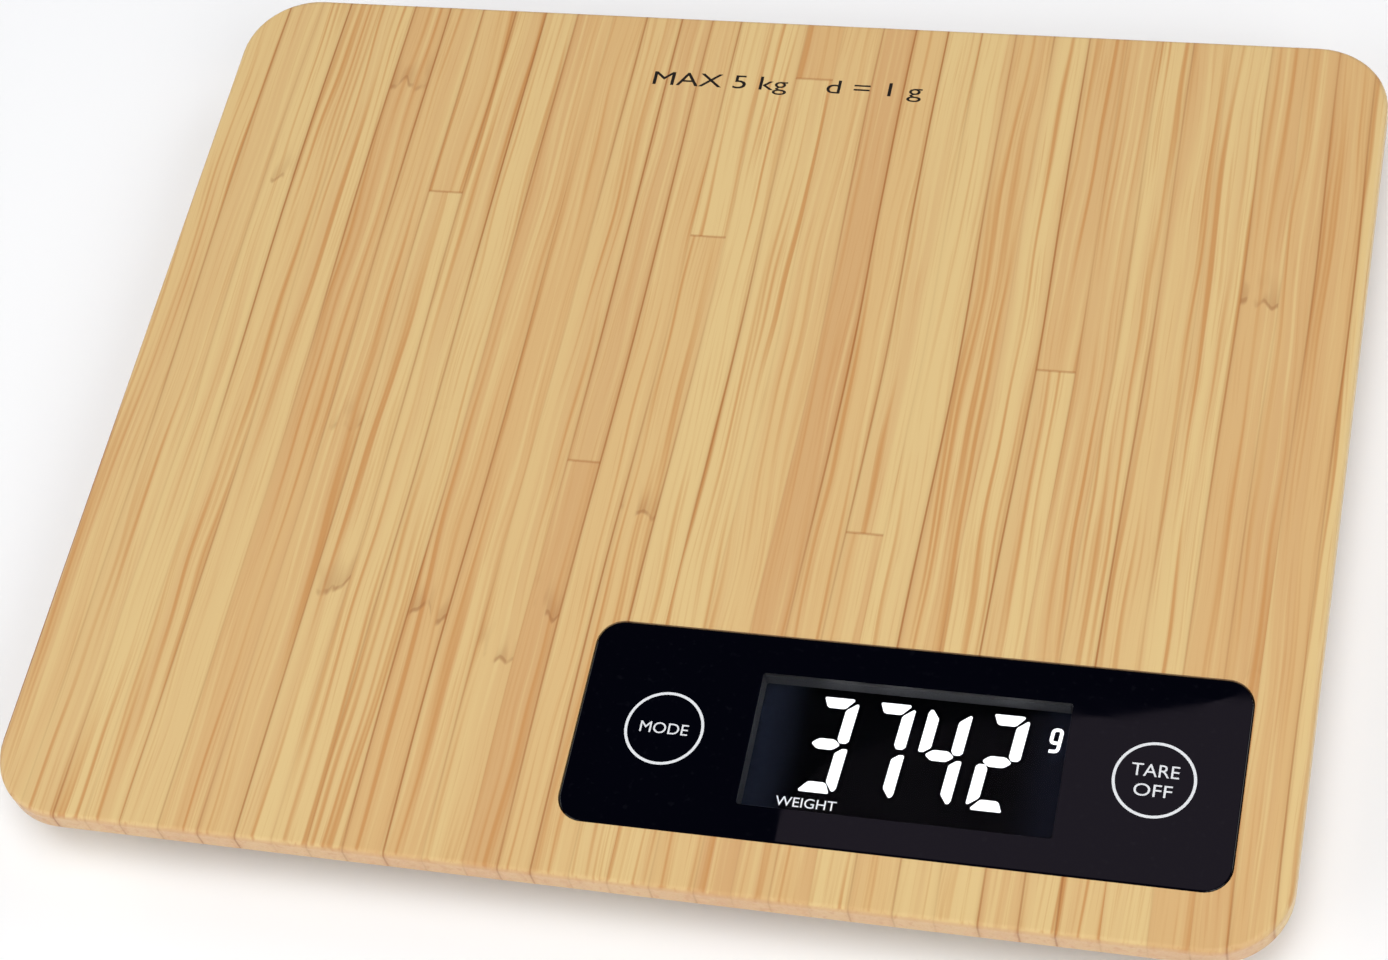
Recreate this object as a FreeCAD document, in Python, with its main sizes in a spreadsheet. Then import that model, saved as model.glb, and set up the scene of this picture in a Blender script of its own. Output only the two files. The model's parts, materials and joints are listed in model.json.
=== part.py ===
"""Slim kitchen scale: a bamboo platform on a moulded tray with four weighing feet.

All sizes are millimetres. +Z is up and +Y runs from the front edge to the rear edge. The origin
lies on the surface that the scale stands on, under the middle of the platform.
"""
import FreeCAD, Part
import math
import os
import re

import Sketcher

# ---------------------------------------------------------------------------------------------
# Driving dimensions
# ---------------------------------------------------------------------------------------------

SIZES = {
    # platform
    "total_height": 18.0,
    "board_width": 230.0,
    "board_depth": 187.0,
    "board_thick": 5.0,
    "board_corner": 14.0,
    "board_top_round": 1.0,
    "board_low_round": 0.8,
    "pilot_radius": 1.25,
    "pilot_depth": 3.6,
    # how far a cut runs past the face that it leaves, and how far a rib runs into its wall
    "cut_past": 1.0,
    "overlap": 0.5,
    # display panel, let in at the front right corner
    "panel_x": 47.3,
    "panel_y": -63.25,
    "panel_width": 115.0,
    "panel_depth": 39.2,
    "panel_thick": 2.0,
    "panel_corner": 4.8,
    "panel_edge_round": 0.35,
    "panel_gap": 0.1,
    "panel_sunk": 0.08,
    "ledge_width": 3.1,
    "ledge_corner": 3.0,
    "adhesive_thick": 0.2,
    "window_x": 47.75,
    "window_y": -63.7,
    "window_width": 54.1,
    "window_depth": 25.4,
    "window_corner": 0.5,
    "lens_gap": 0.03,
    "lens_thick": 1.0,
    # display stack under the panel
    "carrier_width": 108.0,
    "carrier_depth": 32.4,
    "carrier_thick": 1.8,
    "carrier_wall": 1.2,
    "lcd_width": 60.0,
    "lcd_depth": 28.6,
    "lcd_thick": 1.8,
    "lcd_corner": 0.4,
    "lcd_gap": 0.1,
    "guide_depth": 25.4,
    "guide_thick": 1.6,
    "strip_width": 52.0,
    "strip_depth": 2.0,
    "strip_gap": 0.2,
    "circuit_width": 107.0,
    "circuit_depth": 31.6,
    "circuit_thick": 1.0,
    "circuit_corner": 1.5,
    "circuit_screw_x": 50.6,
    "circuit_screw_y": 13.0,
    "circuit_boss_radius": 2.2,
    "circuit_screw_radius": 0.9,
    "circuit_boss_gap": 0.05,
    "circuit_hole_gap": 0.2,
    "circuit_head_radius": 1.8,
    "circuit_head_height": 0.7,
    "chip_x": 18.0,
    "chip_radius": 5.0,
    "chip_height": 1.2,
    "chip_brim": 0.2,
    "key_reach": 42.3,
    "key_hole_radius": 7.2,
    "pillar_radius": 5.4,
    "pillar_bore": 2.0,
    # lower housing
    "housing_inset": 9.0,
    "housing_low": 3.0,
    "housing_corner": 10.0,
    "housing_round": 2.5,
    "wall": 2.0,
    "floor_thick": 2.0,
    "boss_radius": 4.2,
    "boss_bore": 1.6,
    "head_bore": 3.1,
    "head_bore_depth": 2.4,
    "side_boss_x": 98.5,
    "side_boss_y": 29.0,
    "rear_boss_x": 55.0,
    "rear_boss_y": 77.0,
    "front_boss_far_x": 62.0,
    "front_boss_near_x": 22.0,
    "rib_thick": 1.5,
    "rib_height": 4.0,
    "rib_y": 24.0,
    "rib_x": 40.0,
    "label_y": -20.0,
    "label_width": 72.0,
    "label_depth": 34.0,
    "label_corner": 2.0,
    "label_sunk": 0.35,
    "label_thick": 0.15,
    "label_gap": 0.6,
    # screws that hold the housing
    "screw_radius": 1.2,
    "screw_head_radius": 2.7,
    "screw_bevel_width": 0.4,
    "screw_bevel_height": 0.5,
    "screw_sunk": 0.5,
    "screw_bite": 3.2,
    "drive_radius": 1.1,
    "drive_depth": 0.9,
    "drive_half": 0.3,
    # feet and load cells
    "foot_x": 82.0,
    "foot_y": 61.0,
    "foot_hole_radius": 11.4,
    "foot_rim_width": 1.6,
    "foot_rim_height": 0.6,
    "cup_radius": 10.9,
    "cup_low": 1.4,
    "cup_recess_depth": 0.9,
    "flange_radius": 12.4,
    "flange_lift": 0.3,
    "flange_thick": 1.1,
    "nub_radius": 3.0,
    "nub_gap": 0.04,
    "nub_taper": 1.0,
    "pad_radius": 9.5,
    "pad_fit": 0.1,
    "pad_round": 0.6,
    "pad_groove_inner": 4.6,
    "pad_groove_outer": 6.2,
    "pad_groove_depth": 0.5,
    "seat_inner": 12.9,
    "seat_outer": 14.9,
    "seat_height": 2.0,
    "cell_side": 28.0,
    "cell_thick": 1.2,
    "cell_corner": 2.0,
    "slot_outer": 10.2,
    "slot_width": 1.6,
    "gauge_length": 7.0,
    "gauge_width": 5.0,
    "gauge_height": 0.6,
    "clamp_thick": 1.2,
    "clamp_band": 3.6,
    "ear_reach": 17.0,
    "ear_radius": 3.0,
    "post_radius": 2.8,
    "post_bore": 0.85,
    "post_bore_spare": 0.4,
    "clamp_screw_radius": 0.8,
    "clamp_head_radius": 1.9,
    "clamp_head_gap": 0.1,
    "clamp_screw_bite": 2.4,
    # battery bay and its sliding door
    "bay_width": 47.0,
    "bay_front": 53.0,
    "bay_rear": 80.3,
    "bay_ceiling": 8.6,
    "bay_wall": 1.3,
    "door_front": 50.8,
    "door_slot": 49.4,
    "door_groove": 52.4,
    "groove_low": 3.65,
    "door_gap": 0.3,
    "door_flange_thick": 1.05,
    "lip_height": 2.6,
    "lip_thick": 1.9,
    "lip_round": 1.8,
    "grip_width": 16.0,
    "grip_pitch": 2.4,
    "grip_slot": 1.0,
    "grip_depth": 0.45,
    "grip_count": 5.0,
    "grip_start": 5.0,
    "arrow_y": 70.0,
    "arrow_reach": 4.0,
    "coin_radius": 10.0,
    "coin_thick": 3.2,
    "coin_reach": 11.2,
    "coin_y": 66.6,
    "coin_step_radius": 8.6,
    "coin_step": 0.25,
    "coin_round": 0.4,
    "contact_thick": 0.3,
    "contact_width": 8.0,
    "contact_length": 36.0,
    "contact_corner": 1.0,
    "clip_length": 12.0,
    "clip_foot": 0.3,
    "clip_head": 0.6,
    # leads
    "lead_radius": 0.55,
    "lead_low_level": 10.3,
    "lead_level": 12.0,
    "lead_pitch": 3.0,
    "lead_clear": 0.1,
    "lead_straight": 5.0,
    "lead_drop": 10.0,
    "lead_bend": 14.0,
    "lead_turn": 6.0,
    "lead_row": 9.0,
    "lead_landing": 3.2,
    "lead_climb": 12.0,
    "lead_bay_drop": 1.0,
}

doc = FreeCAD.newDocument("KitchenScale")
sheet = doc.addObject("Spreadsheet::Sheet", "Sizes")
for row, (alias, millimetres) in enumerate(SIZES.items(), start=1):
    sheet.set("A%d" % row, alias)
    sheet.set("B%d" % row, str(millimetres))
    sheet.setAlias("B%d" % row, alias)
doc.recompute()

# Heights that several pieces share, worked out from the driving dimensions.
BOARD_UNDER = "(total_height - board_thick)"
PANEL_TOP = "(total_height - panel_sunk)"
PANEL_UNDER = "(%s - panel_thick)" % PANEL_TOP
LEDGE = "(%s - adhesive_thick)" % PANEL_UNDER
LCD_TOP = "(%s - carrier_thick)" % PANEL_UNDER
LCD_UNDER = "(%s - lcd_thick)" % LCD_TOP
CIRCUIT_TOP = "(%s - guide_thick)" % LCD_UNDER
CIRCUIT_UNDER = "(%s - circuit_thick)" % CIRCUIT_TOP
FLOOR_TOP = "(housing_low + floor_thick)"
CELL_UNDER = "(%s + seat_height)" % FLOOR_TOP
CELL_TOP = "(%s + cell_thick)" % CELL_UNDER
HOUSING_WIDTH = "(board_width - 2 * housing_inset)"
HOUSING_DEPTH = "(board_depth - 2 * housing_inset)"

CORNERS = {
    "front_left": (-1, -1),
    "front_right": (1, -1),
    "rear_left": (-1, 1),
    "rear_right": (1, 1),
}

# Where the housing screws stand, as expressions for x and y.
SCREWS = [
    ("side_boss_x", "side_boss_y"),
    ("side_boss_x", "-side_boss_y"),
    ("-side_boss_x", "side_boss_y"),
    ("-side_boss_x", "-side_boss_y"),
    ("rear_boss_x", "rear_boss_y"),
    ("-rear_boss_x", "rear_boss_y"),
    ("-front_boss_far_x", "-rear_boss_y"),
    ("-front_boss_near_x", "-rear_boss_y"),
]

# ---------------------------------------------------------------------------------------------
# Helpers
# ---------------------------------------------------------------------------------------------

nodes = []

# Differences smaller than these are rounding, in millimetres and cubic millimetres.
SAME_PLACE = 1e-4
SAME_VOLUME = 1e-3
# The share of the shorter of two runs that a lead's bend takes up.
BEND_SHARE = 0.45
# How far a lead's volume may be from its length times its section.
LEAD_TOLERANCE = 0.02


def bound(text):
    """Write an expression with each plain dimension name turned into a reference to the sheet."""
    return re.sub(r"[a-z_]+", lambda m: "Sizes." + m.group() if m.group() in SIZES else m.group(), str(text))


def number(text):
    """Return an expression's value in millimetres."""
    result = sheet.evalExpression(bound(text))
    return float(getattr(result, "Value", result))


def new_body(name):
    """Start a sub-part whose label names its file."""
    body = doc.addObject("PartDesign::Body", name)
    body.Label = name
    nodes.append(body)
    return body


def new_sketch(body, name, level, plane="XY_Plane"):
    """Attach a sketch to one of the body's own origin planes, lifted to a level."""
    sketch = body.newObject("Sketcher::SketchObject", name)
    support = next(f for f in body.Origin.OriginFeatures if f.Role == plane)
    sketch.AttachmentSupport = [(support, "")]
    sketch.MapMode = "FlatFace"
    sketch.setExpression("AttachmentOffset.Base.z", bound(level))
    return sketch


def pin(sketch, geometry, point, x, y):
    """Hold one point of the sketch at a place given by two expressions."""
    for kind, text in (("DistanceX", x), ("DistanceY", y)):
        distance = Sketcher.Constraint(kind, -1, 1, geometry, point, number(text))
        index = sketch.addConstraint(distance)
        sketch.setExpression("Constraints[%d]" % index, bound(text))


def draw_circle(sketch, x, y, radius):
    """Draw a circle with its centre and radius bound to the sheet."""
    centre = FreeCAD.Vector(number(x), number(y), 0)
    circle = sketch.addGeometry(Part.Circle(centre, FreeCAD.Vector(0, 0, 1), number(radius)), False)
    pin(sketch, circle, 3, x, y)
    index = sketch.addConstraint(Sketcher.Constraint("Radius", circle, number(radius)))
    sketch.setExpression("Constraints[%d]" % index, bound(radius))


def draw_outline(sketch, points):
    """Draw a closed outline of straight lines through points given as expressions."""
    places = [FreeCAD.Vector(number(x), number(y), 0) for x, y in points]
    lines = []
    for i, place in enumerate(places):
        following = places[(i + 1) % len(places)]
        lines.append(sketch.addGeometry(Part.LineSegment(place, following), False))
    for i, line in enumerate(lines):
        following = lines[(i + 1) % len(lines)]
        sketch.addConstraint(Sketcher.Constraint("Coincident", line, 2, following, 1))
    for line, (x, y) in zip(lines, points):
        pin(sketch, line, 1, x, y)


def spread(centre, size, margin="0"):
    """Write the low and high limits of a size laid about a centre, drawn in by a margin."""
    low = "(%s) - (%s) / 2 + (%s)" % (centre, size, margin)
    high = "(%s) + (%s) / 2 - (%s)" % (centre, size, margin)
    return low, high


def draw_rectangle(sketch, x, y, width, depth):
    """Draw a plain rectangle about a centre."""
    left, right = spread(x, width)
    low, high = spread(y, depth)
    draw_outline(sketch, [(left, low), (right, low), (right, high), (left, high)])


def draw_rounded(sketch, x, y, width, depth, corner):
    """Draw a rectangle with round corners about a centre."""
    radius = number(corner)
    low_x, high_x = spread(x, width, corner)
    low_y, high_y = spread(y, depth, corner)
    centres = [(low_x, low_y), (high_x, low_y), (high_x, high_y), (low_x, high_y)]
    arcs = []
    for turn, (arc_x, arc_y) in enumerate(centres):
        start = math.pi + turn * math.pi / 2
        centre = FreeCAD.Vector(number(arc_x), number(arc_y), 0)
        circle = Part.Circle(centre, FreeCAD.Vector(0, 0, 1), radius)
        arcs.append(sketch.addGeometry(Part.ArcOfCircle(circle, start, start + math.pi / 2), False))
    for turn, arc in enumerate(arcs):
        following = arcs[(turn + 1) % 4]
        side = Part.LineSegment(sketch.getPoint(arc, 2), sketch.getPoint(following, 1))
        line = sketch.addGeometry(side, False)
        sketch.addConstraint(Sketcher.Constraint("Tangent", arc, 2, line, 1))
        sketch.addConstraint(Sketcher.Constraint("Tangent", line, 2, following, 1))
        sketch.addConstraint(Sketcher.Constraint("Vertical" if turn % 2 else "Horizontal", line))
    for arc in arcs[1:]:
        sketch.addConstraint(Sketcher.Constraint("Equal", arcs[0], arc))
    index = sketch.addConstraint(Sketcher.Constraint("Radius", arcs[0], radius))
    sketch.setExpression("Constraints[%d]" % index, bound(corner))
    pin(sketch, arcs[0], 3, low_x, low_y)
    pin(sketch, arcs[2], 3, high_x, high_y)


def pad(sketch, height):
    """Raise a sketch by a height."""
    body = sketch.getParentGeoFeatureGroup()
    feature = body.newObject("PartDesign::Pad", sketch.Name + "_pad")
    feature.Profile = sketch
    feature.setExpression("Length", bound(height))
    doc.recompute()
    return feature


def pocket(sketch, depth, upwards=False):
    """Cut a sketch down, or up, by a depth, and make sure that it removed material."""
    body = sketch.getParentGeoFeatureGroup()
    before = body.Shape.Volume
    feature = body.newObject("PartDesign::Pocket", sketch.Name + "_cut")
    feature.Profile = sketch
    feature.Reversed = upwards
    feature.setExpression("Length", bound(depth))
    doc.recompute()
    if body.Shape.Volume > before - SAME_VOLUME:
        raise RuntimeError("%s cuts nothing" % feature.Name)
    return feature


def round_edges(body, name, radius, chosen):
    """Round the edges for which chosen(edge) is true."""
    names = ["Edge%d" % i for i, edge in enumerate(body.Shape.Edges, start=1) if chosen(edge)]
    rounded = body.Tip
    feature = body.newObject("PartDesign::Fillet", name)
    feature.Base = (rounded, names)
    feature.setExpression("Radius", bound(radius))
    doc.recompute()
    return feature


def edge_at(level):
    """Choose edges that lie flat at a level."""
    height = number(level)

    def chosen(edge):
        box = edge.BoundBox
        return abs(box.ZMin - height) < SAME_PLACE and abs(box.ZMax - height) < SAME_PLACE

    return chosen


def place(body, x, y, z="0", turn=0):
    """Move a finished sub-part to its place, with an optional turn about Z in degrees."""
    body.Placement = FreeCAD.Placement(FreeCAD.Vector(), FreeCAD.Rotation(FreeCAD.Vector(0, 0, 1), turn))
    for axis, text in zip("xyz", (x, y, z)):
        body.setExpression("Placement.Base.%s" % axis, bound(text))


def revolved(body, name, points):
    """Turn an outline of (radius, height) points about the body's Z axis."""
    sketch = new_sketch(body, name, "0", "XZ_Plane")
    draw_outline(sketch, points)
    feature = body.newObject("PartDesign::Revolution", name + "_turned")
    feature.Profile = sketch
    feature.ReferenceAxis = (sketch, ["V_Axis"])
    feature.Angle = 360
    doc.recompute()
    return feature


def signed(sign, text):
    """Write an expression with a sign in front."""
    return text if sign > 0 else "-" + text


# ---------------------------------------------------------------------------------------------
# Platform and display panel
# ---------------------------------------------------------------------------------------------

def bamboo_platform():
    """Glued bamboo board, rebated for the display panel, with blind pilot holes underneath."""
    body = new_body("bamboo_platform")
    outline = new_sketch(body, "board", BOARD_UNDER)
    draw_rounded(outline, "0", "0", "board_width", "board_depth", "board_corner")
    pad(outline, "board_thick")
    round_edges(body, "board_top_edge", "board_top_round", edge_at("total_height"))
    round_edges(body, "board_low_edge", "board_low_round", edge_at(BOARD_UNDER))
    rebate = new_sketch(body, "rebate", "total_height")
    rebate_width, rebate_depth = "(panel_width + 2 * panel_gap)", "(panel_depth + 2 * panel_gap)"
    draw_rounded(rebate, "panel_x", "panel_y", rebate_width, rebate_depth, "(panel_corner + panel_gap)")
    pocket(rebate, "total_height - " + LEDGE)
    opening = new_sketch(body, "opening", "total_height")
    draw_opening(opening)
    pocket(opening, "board_thick + cut_past")
    pilots = new_sketch(body, "pilots", BOARD_UNDER)
    for x, y in SCREWS:
        draw_circle(pilots, x, y, "pilot_radius")
    pocket(pilots, "pilot_depth", upwards=True)


def draw_opening(sketch):
    """Draw the opening that the display stack hangs through, one ledge inside the panel's edge."""
    width, depth = "(panel_width - 2 * ledge_width)", "(panel_depth - 2 * ledge_width)"
    draw_rounded(sketch, "panel_x", "panel_y", width, depth, "ledge_corner")


def draw_window(sketch, gap):
    """Draw the display window, made smaller all round by a gap."""
    width, depth = "(window_width - 2 * %s)" % gap, "(window_depth - 2 * %s)" % gap
    draw_rounded(sketch, "window_x", "window_y", width, depth, "window_corner")


def display_panel():
    """Gloss black panel with a window through it."""
    body = new_body("display_panel")
    outline = new_sketch(body, "panel", PANEL_UNDER)
    draw_rounded(outline, "panel_x", "panel_y", "panel_width", "panel_depth", "panel_corner")
    pad(outline, "panel_thick")
    round_edges(body, "panel_edge", "panel_edge_round", edge_at(PANEL_TOP))
    window = new_sketch(body, "panel_window", PANEL_TOP)
    draw_window(window, "0")
    pocket(window, "panel_thick + cut_past")


def display_window():
    """Clear lens bonded into the top of the panel's window."""
    body = new_body("display_window")
    outline = new_sketch(body, "lens", PANEL_TOP + " - lens_thick")
    draw_window(outline, "lens_gap")
    pad(outline, "lens_thick")


def panel_adhesive():
    """Frame of double-sided tape between the ledge and the panel."""
    body = new_body("panel_adhesive")
    outline = new_sketch(body, "tape", LEDGE)
    draw_rounded(outline, "panel_x", "panel_y", "panel_width", "panel_depth", "panel_corner")
    draw_opening(outline)
    pad(outline, "adhesive_thick")


# ---------------------------------------------------------------------------------------------
# Display stack
# ---------------------------------------------------------------------------------------------

def circuit_screw_places():
    """Give the four places of the circuit board's screws."""
    return [
        ("panel_x + %s" % signed(sx, "circuit_screw_x"), "panel_y + %s" % signed(sy, "circuit_screw_y"))
        for sx, sy in CORNERS.values()
    ]


def display_carrier():
    """Moulded frame that holds the LCD under the window and the circuit board under both."""
    body = new_body("display_carrier")
    plate = new_sketch(body, "carrier_plate", LCD_TOP)
    draw_rounded(plate, "panel_x", "panel_y", "carrier_width", "carrier_depth", "ledge_corner")
    draw_window(plate, "0")
    for sign in (-1, 1):
        draw_circle(plate, "window_x + %s" % signed(sign, "key_reach"), "window_y", "key_hole_radius")
    pad(plate, "carrier_thick")
    rim = new_sketch(body, "carrier_rim", CIRCUIT_TOP)
    outer_width, outer_depth = "(lcd_width + 2 * carrier_wall)", "(lcd_depth + 2 * carrier_wall)"
    draw_rectangle(rim, "window_x", "panel_y", outer_width, outer_depth)
    draw_rectangle(rim, "window_x", "panel_y", "(lcd_width + 2 * lcd_gap)", "(lcd_depth + 2 * lcd_gap)")
    pad(rim, "lcd_thick + guide_thick")
    bosses = new_sketch(body, "carrier_bosses", CIRCUIT_TOP)
    for x, y in circuit_screw_places():
        draw_circle(bosses, x, y, "circuit_boss_radius")
        draw_circle(bosses, x, y, "(circuit_screw_radius + circuit_boss_gap)")
    pad(bosses, "lcd_thick + guide_thick")


def lcd_glass():
    """Liquid crystal cell of the segment display."""
    body = new_body("lcd_glass")
    outline = new_sketch(body, "lcd", LCD_UNDER)
    draw_rounded(outline, "window_x", "panel_y", "lcd_width", "lcd_depth", "lcd_corner")
    pad(outline, "lcd_thick")


def backlight_guide():
    """Milky light guide that spreads the light of the backlight."""
    body = new_body("backlight_guide")
    outline = new_sketch(body, "guide", CIRCUIT_TOP)
    guide_y = "panel_y - (lcd_depth - guide_depth) / 2"
    draw_rounded(outline, "window_x", guide_y, "lcd_width", "guide_depth", "lcd_corner")
    pad(outline, "guide_thick")


def lcd_connector():
    """Elastomer strip that joins the LCD's contacts to the circuit board."""
    body = new_body("lcd_connector")
    outline = new_sketch(body, "strip", CIRCUIT_TOP)
    strip_y = "panel_y + (lcd_depth - strip_depth) / 2 - strip_gap"
    draw_rectangle(outline, "window_x", strip_y, "strip_width", "strip_depth")
    pad(outline, "guide_thick")


def circuit_board():
    """Circuit board with clearance holes for its four screws."""
    body = new_body("circuit_board")
    outline = new_sketch(body, "circuit", CIRCUIT_UNDER)
    draw_rounded(outline, "panel_x", "panel_y", "circuit_width", "circuit_depth", "circuit_corner")
    for x, y in circuit_screw_places():
        draw_circle(outline, x, y, "(circuit_screw_radius + circuit_hole_gap)")
    pad(outline, "circuit_thick")


def controller_chip():
    """Controller under a drop of epoxy on the circuit board's lower face."""
    body = new_body("controller_chip")
    outline = new_sketch(body, "chip", CIRCUIT_UNDER + " - chip_height")
    draw_circle(outline, "0", "0", "chip_radius")
    pad(outline, "chip_height")
    round_edges(body, "chip_edge", "chip_height - chip_brim", edge_at(CIRCUIT_UNDER + " - chip_height"))
    place(body, "chip_x", "panel_y")


def circuit_screws():
    """Four pan-head screws that hold the circuit board against the carrier."""
    body = new_body("circuit_screws")
    heads = new_sketch(body, "circuit_heads", CIRCUIT_UNDER + " - circuit_head_height")
    for x, y in circuit_screw_places():
        draw_circle(heads, x, y, "circuit_head_radius")
    pad(heads, "circuit_head_height")
    shanks = new_sketch(body, "circuit_shanks", CIRCUIT_UNDER)
    for x, y in circuit_screw_places():
        draw_circle(shanks, x, y, "circuit_screw_radius")
    pad(shanks, "circuit_thick + guide_thick + lcd_thick")


def touch_pillar(side, sign):
    """Conductive foam pillar that carries a touch key from the circuit board to the panel."""
    body = new_body("touch_pillar_" + side)
    ring = new_sketch(body, "pillar_" + side, CIRCUIT_TOP)
    draw_circle(ring, "0", "0", "pillar_radius")
    draw_circle(ring, "0", "0", "pillar_bore")
    pad(ring, PANEL_UNDER + " - " + CIRCUIT_TOP)
    place(body, "window_x + %s" % signed(sign, "key_reach"), "window_y")


# ---------------------------------------------------------------------------------------------
# Lower housing
# ---------------------------------------------------------------------------------------------

def lower_housing():
    """Moulded tray: foot holes, cell seats, screw bosses, ribs and the battery bay."""
    body = new_body("lower_housing")
    shell = new_sketch(body, "shell", "housing_low")
    draw_rounded(shell, "0", "0", HOUSING_WIDTH, HOUSING_DEPTH, "housing_corner")
    pad(shell, BOARD_UNDER + " - housing_low")
    round_edges(body, "shell_edge", "housing_round", edge_at("housing_low"))
    cavity = new_sketch(body, "cavity", BOARD_UNDER)
    inner_width, inner_depth = "(%s - 2 * wall)" % HOUSING_WIDTH, "(%s - 2 * wall)" % HOUSING_DEPTH
    draw_rounded(cavity, "0", "0", inner_width, inner_depth, "(housing_corner - wall)")
    pocket(cavity, BOARD_UNDER + " - " + FLOOR_TOP)
    add_ribs(body)
    add_battery_bay(body)
    add_cell_seats(body)
    add_bosses(body)
    recess = new_sketch(body, "label_recess", "housing_low")
    draw_rounded(recess, "0", "label_y", "label_width", "label_depth", "label_corner")
    pocket(recess, "label_sunk", upwards=True)


def rating_label():
    """Blank foil label in its recess under the housing."""
    body = new_body("rating_label")
    outline = new_sketch(body, "label", "housing_low + label_sunk - label_thick")
    width, depth = "(label_width - 2 * label_gap)", "(label_depth - 2 * label_gap)"
    draw_rounded(outline, "0", "label_y", width, depth, "(label_corner - label_gap)")
    pad(outline, "label_thick")


def add_ribs(body):
    """Stiffening ribs on the tray's floor, between the feet."""
    along = new_sketch(body, "ribs_along", FLOOR_TOP)
    along_run = "(%s - 2 * wall + 2 * overlap)" % HOUSING_WIDTH
    for sign in (-1, 1):
        draw_rectangle(along, "0", signed(sign, "rib_y"), along_run, "rib_thick")
    pad(along, "rib_height")
    across = new_sketch(body, "ribs_across", FLOOR_TOP)
    across_run = "(%s - 2 * wall + 2 * overlap)" % HOUSING_DEPTH
    for sign in (-1, 1):
        draw_rectangle(across, signed(sign, "rib_x"), "0", "rib_thick", across_run)
    pad(across, "rib_height")


def add_battery_bay(body):
    """Box for the coin cells, open below, with grooves for the door and a notch in the rear wall."""
    bay_y, bay_depth = "((bay_front + bay_rear) / 2)", "(bay_rear - bay_front)"
    box = new_sketch(body, "bay_box", FLOOR_TOP)
    box_depth = "(%s / 2 - wall / 2 - bay_front + 2 * bay_wall)" % HOUSING_DEPTH
    box_y = "(%s / 2 - wall / 2 - %s / 2)" % (HOUSING_DEPTH, box_depth)
    draw_rectangle(box, "0", box_y, "(door_groove + 2 * bay_wall)", box_depth)
    pad(box, "bay_ceiling + bay_wall - " + FLOOR_TOP)
    bay = new_sketch(body, "bay", "housing_low")
    draw_rounded(bay, "0", bay_y, "bay_width", bay_depth, "bay_wall")
    pocket(bay, "bay_ceiling - housing_low", upwards=True)
    rear = "(%s / 2 + cut_past)" % HOUSING_DEPTH
    front = "(door_front - door_gap)"
    run, middle = "(%s - %s)" % (rear, front), "((%s + %s) / 2)" % (rear, front)
    slot = new_sketch(body, "door_slot_cut", "housing_low")
    draw_rectangle(slot, "0", middle, "door_slot", run)
    pocket(slot, "floor_thick", upwards=True)
    groove = new_sketch(body, "door_groove_cut", "groove_low")
    draw_rectangle(groove, "0", middle, "door_groove", run)
    pocket(groove, FLOOR_TOP + " - groove_low", upwards=True)
    notch = new_sketch(body, "lip_notch", "housing_low")
    notch_front = "(%s / 2 - lip_thick - door_gap)" % HOUSING_DEPTH
    notch_y, notch_depth = "((%s + %s) / 2)" % (rear, notch_front), "(%s - %s)" % (rear, notch_front)
    draw_rectangle(notch, "0", notch_y, "door_groove", notch_depth)
    pocket(notch, "lip_height + door_gap", upwards=True)


def add_cell_seats(body):
    """Holes for the feet, each in a round seat for its load cell, with posts for the clamp screws."""
    feet = [(signed(sx, "foot_x"), signed(sy, "foot_y")) for sx, sy in CORNERS.values()]
    posts = [("%s + %s" % (x, signed(sign, "ear_reach")), y) for x, y in feet for sign in (-1, 1)]
    holes = new_sketch(body, "foot_holes", "housing_low")
    for x, y in feet:
        draw_circle(holes, x, y, "foot_hole_radius")
    pocket(holes, "floor_thick + cut_past", upwards=True)
    rims = new_sketch(body, "foot_rims", "housing_low - foot_rim_height")
    for x, y in feet:
        draw_circle(rims, x, y, "(foot_hole_radius + foot_rim_width)")
        draw_circle(rims, x, y, "foot_hole_radius")
    pad(rims, "foot_rim_height + overlap")
    seats = new_sketch(body, "cell_seats", FLOOR_TOP)
    for x, y in feet:
        draw_circle(seats, x, y, "seat_outer")
        draw_circle(seats, x, y, "seat_inner")
    pad(seats, "seat_height")
    stands = new_sketch(body, "clamp_posts", FLOOR_TOP)
    for x, y in posts:
        draw_circle(stands, x, y, "post_radius")
    pad(stands, "seat_height + cell_thick")
    bores = new_sketch(body, "post_bores", CELL_TOP)
    for x, y in posts:
        draw_circle(bores, x, y, "post_bore")
    pocket(bores, "clamp_screw_bite + post_bore_spare")


def add_bosses(body):
    """Bosses for the screws that fasten the tray to the platform, counterbored from below."""
    pillars = new_sketch(body, "boss_pillars", FLOOR_TOP)
    for x, y in SCREWS:
        draw_circle(pillars, x, y, "boss_radius")
    pad(pillars, BOARD_UNDER + " - " + FLOOR_TOP)
    bores = new_sketch(body, "boss_bores", "housing_low")
    for x, y in SCREWS:
        draw_circle(bores, x, y, "boss_bore")
    pocket(bores, BOARD_UNDER + " - housing_low + cut_past", upwards=True)
    heads = new_sketch(body, "head_bores", "housing_low")
    for x, y in SCREWS:
        draw_circle(heads, x, y, "head_bore")
    pocket(heads, "head_bore_depth", upwards=True)


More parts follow.
